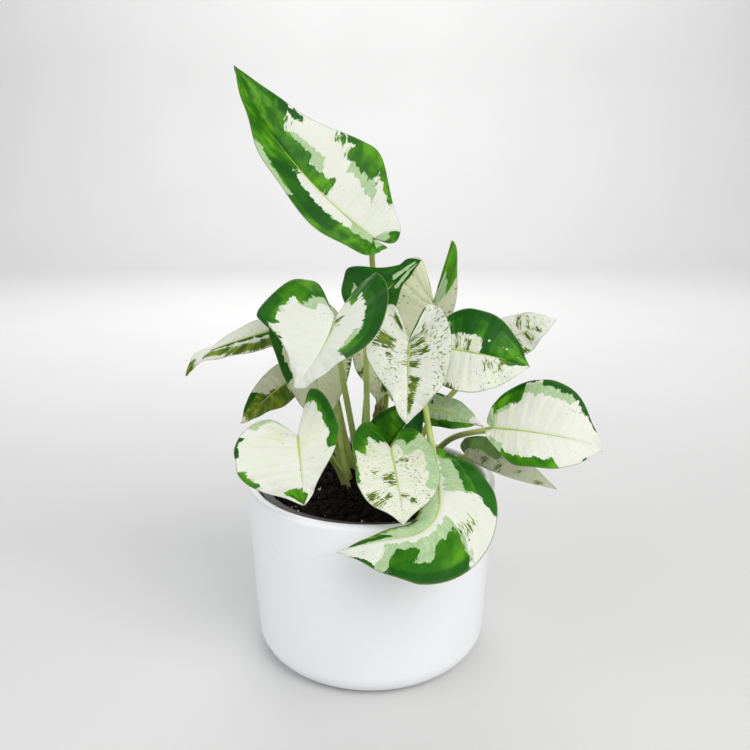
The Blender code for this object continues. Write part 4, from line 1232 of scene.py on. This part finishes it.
class POTHOS_OT_stage(bpy.types.Operator):
    """Add the floor, the lights and the camera"""

    bl_idname = "pothos.stage"
    bl_label = "Stage"

    def execute(self, context):
        settings = context.scene.pothos_stage
        make_floor(settings)
        plant, wall = (0.0, 0.0, 0.13), (0.0, 2.6, 1.2)
        area_light("key", (0.75, -0.95, 1.15), plant, 1.1, settings.key, WARM_LIGHT)
        area_light("fill", (-1.1, -0.5, 0.8), plant, 1.2, settings.fill, COOL_LIGHT)
        area_light("back", (-0.2, 1.1, 1.0), plant, 1.0, settings.fill, WHITE_LIGHT)
        area_light("backdrop", (0.0, 0.9, 1.9), wall, 1.6, settings.backdrop, WHITE_LIGHT)
        world = bpy.data.worlds.new("studio")
        world.use_nodes = True
        sky = world.node_tree.nodes["Background"].inputs
        sky["Color"].default_value = (*COOL_LIGHT, 1.0)
        sky["Strength"].default_value = settings.sky
        context.scene.world = world
        context.scene.view_settings.view_transform = "Standard"
        data = bpy.data.cameras.new("camera")
        data.sensor_width = data.lens = CAMERA_LENS
        data.clip_start = 0.01
        camera = bpy.data.objects.new("camera", data)
        camera.location = (RIM_CENTRE[0] * MM + settings.aside,
                           RIM_CENTRE[1] * MM - settings.distance, settings.height)
        camera.rotation_euler = (math.radians(90) - settings.pitch, 0, 0)
        context.scene.collection.objects.link(camera)
        context.scene.camera = camera
        return {"FINISHED"}


class POTHOS_OT_cover_pot(bpy.types.Operator):
    """Turn the white cover pot"""

    bl_idname = "pothos.cover_pot"
    bl_label = "Cover pot"

    def execute(self, context):
        settings = context.scene.pothos_pot
        pot = turned("cover_pot", pot_profile(settings), POT_SEGMENTS, glaze_finish(settings))
        settle(pot, "pot_glaze", "pot")
        return {"FINISHED"}


class POTHOS_OT_grow_pot(bpy.types.Operator):
    """Give the grower's pot its moulded plastic"""

    bl_idname = "pothos.grow_pot"
    bl_label = "Grower's pot"

    def execute(self, context):
        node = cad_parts["grow_pot"]
        finish = plastic_finish(context.scene.pothos_pot)
        for slot in node.material_slots:
            slot.material = finish
        return {"FINISHED"}


class POTHOS_OT_soil(bpy.types.Operator):
    """Lay the soil, its crumbs and its white specks"""

    bl_idname = "pothos.soil"
    bl_label = "Soil"

    def execute(self, context):
        settings = context.scene.pothos_soil
        finish = soil_finish(settings)
        settle(make_soil(settings, finish), "soil", "soil")
        for name, count, sizes, seed, skin in (
                ("crumbs", settings.crumbs, CRUMB_SIZES, CRUMB_SEED, finish),
                ("specks", settings.specks, SPECK_SIZES, SPECK_SEED, speck_finish())):
            settle(make_crumbs(name, count, sizes, settings, seed, skin), "soil", "soil")
        return {"FINISHED"}


class POTHOS_OT_stems(bpy.types.Operator):
    """Grow the three vine stems"""

    bl_idname = "pothos.stems"
    bl_label = "Vine stems"

    def execute(self, context):
        settings = context.scene.pothos_stalks
        finish = stem_finish(settings)
        for seed, (name, foot, top, height) in enumerate(STEMS):
            stem = make_stem(settings, name, foot, top, height, seed, finish)
            settle(stem, "stem_skin", "stem_" + name)
        return {"FINISHED"}


class POTHOS_OT_stalks(bpy.types.Operator):
    """Grow a stalk for each leaf"""

    bl_idname = "pothos.stalks"
    bl_label = "Leaf stalks"

    def execute(self, context):
        settings = context.scene.pothos_stalks
        finish = stalk_finish(settings)
        for seed, leaf in enumerate(LEAVES):
            settle(make_stalk(settings, leaf, seed, finish), "stalk_skin", "stalk_" + leaf.name)
        return {"FINISHED"}


class POTHOS_OT_blades(bpy.types.Operator):
    """Grow the variegated blades"""

    bl_idname = "pothos.blades"
    bl_label = "Leaf blades"

    def execute(self, context):
        settings = context.scene.pothos_blades
        finish = blade_finish(settings)
        for seed, leaf in enumerate(LEAVES):
            settle(make_blade(settings, leaf, seed, finish), "blade_skin", "leaf_" + leaf.name)
        return {"FINISHED"}


OPERATORS = (POTHOS_OT_stage, POTHOS_OT_cover_pot, POTHOS_OT_grow_pot, POTHOS_OT_soil,
             POTHOS_OT_stems, POTHOS_OT_stalks, POTHOS_OT_blades)
SETTINGS = {"pothos_stage": StageSettings, "pothos_pot": PotSettings, "pothos_soil": SoilSettings,
            "pothos_stalks": StalkSettings, "pothos_blades": BladeSettings}


class POTHOS_PT_panel(bpy.types.Panel):
    """Settings and buttons of the potted pothos"""

    bl_idname = "POTHOS_PT_panel"
    bl_label = "Potted pothos"
    bl_space_type = "VIEW_3D"
    bl_region_type = "UI"
    bl_category = "Pothos"

    def draw(self, context):
        for name in SETTINGS:
            box = self.layout.box()
            for key in getattr(context.scene, name).bl_rna.properties.keys():
                if key not in ("rna_type", "name"):
                    box.prop(getattr(context.scene, name), key)
        for operator in OPERATORS:
            self.layout.operator(operator.bl_idname)


def register():
    """Register the classes and their settings."""
    for name, group in SETTINGS.items():
        bpy.utils.register_class(group)
        setattr(bpy.types.Scene, name, PointerProperty(type=group))
    for operator in OPERATORS:
        bpy.utils.register_class(operator)
    bpy.utils.register_class(POTHOS_PT_panel)


def unregister():
    """Take the classes and their settings away."""
    bpy.utils.unregister_class(POTHOS_PT_panel)
    for operator in reversed(OPERATORS):
        bpy.utils.unregister_class(operator)
    for name, group in SETTINGS.items():
        delattr(bpy.types.Scene, name)
        bpy.utils.unregister_class(group)


def main():
    """Build everything."""
    register()
    bpy.ops.pothos.stage()
    bpy.ops.pothos.cover_pot()
    bpy.ops.pothos.grow_pot()
    bpy.ops.pothos.soil()
    bpy.ops.pothos.stems()
    bpy.ops.pothos.stalks()
    bpy.ops.pothos.blades()


if __name__ == "__main__":
    main()
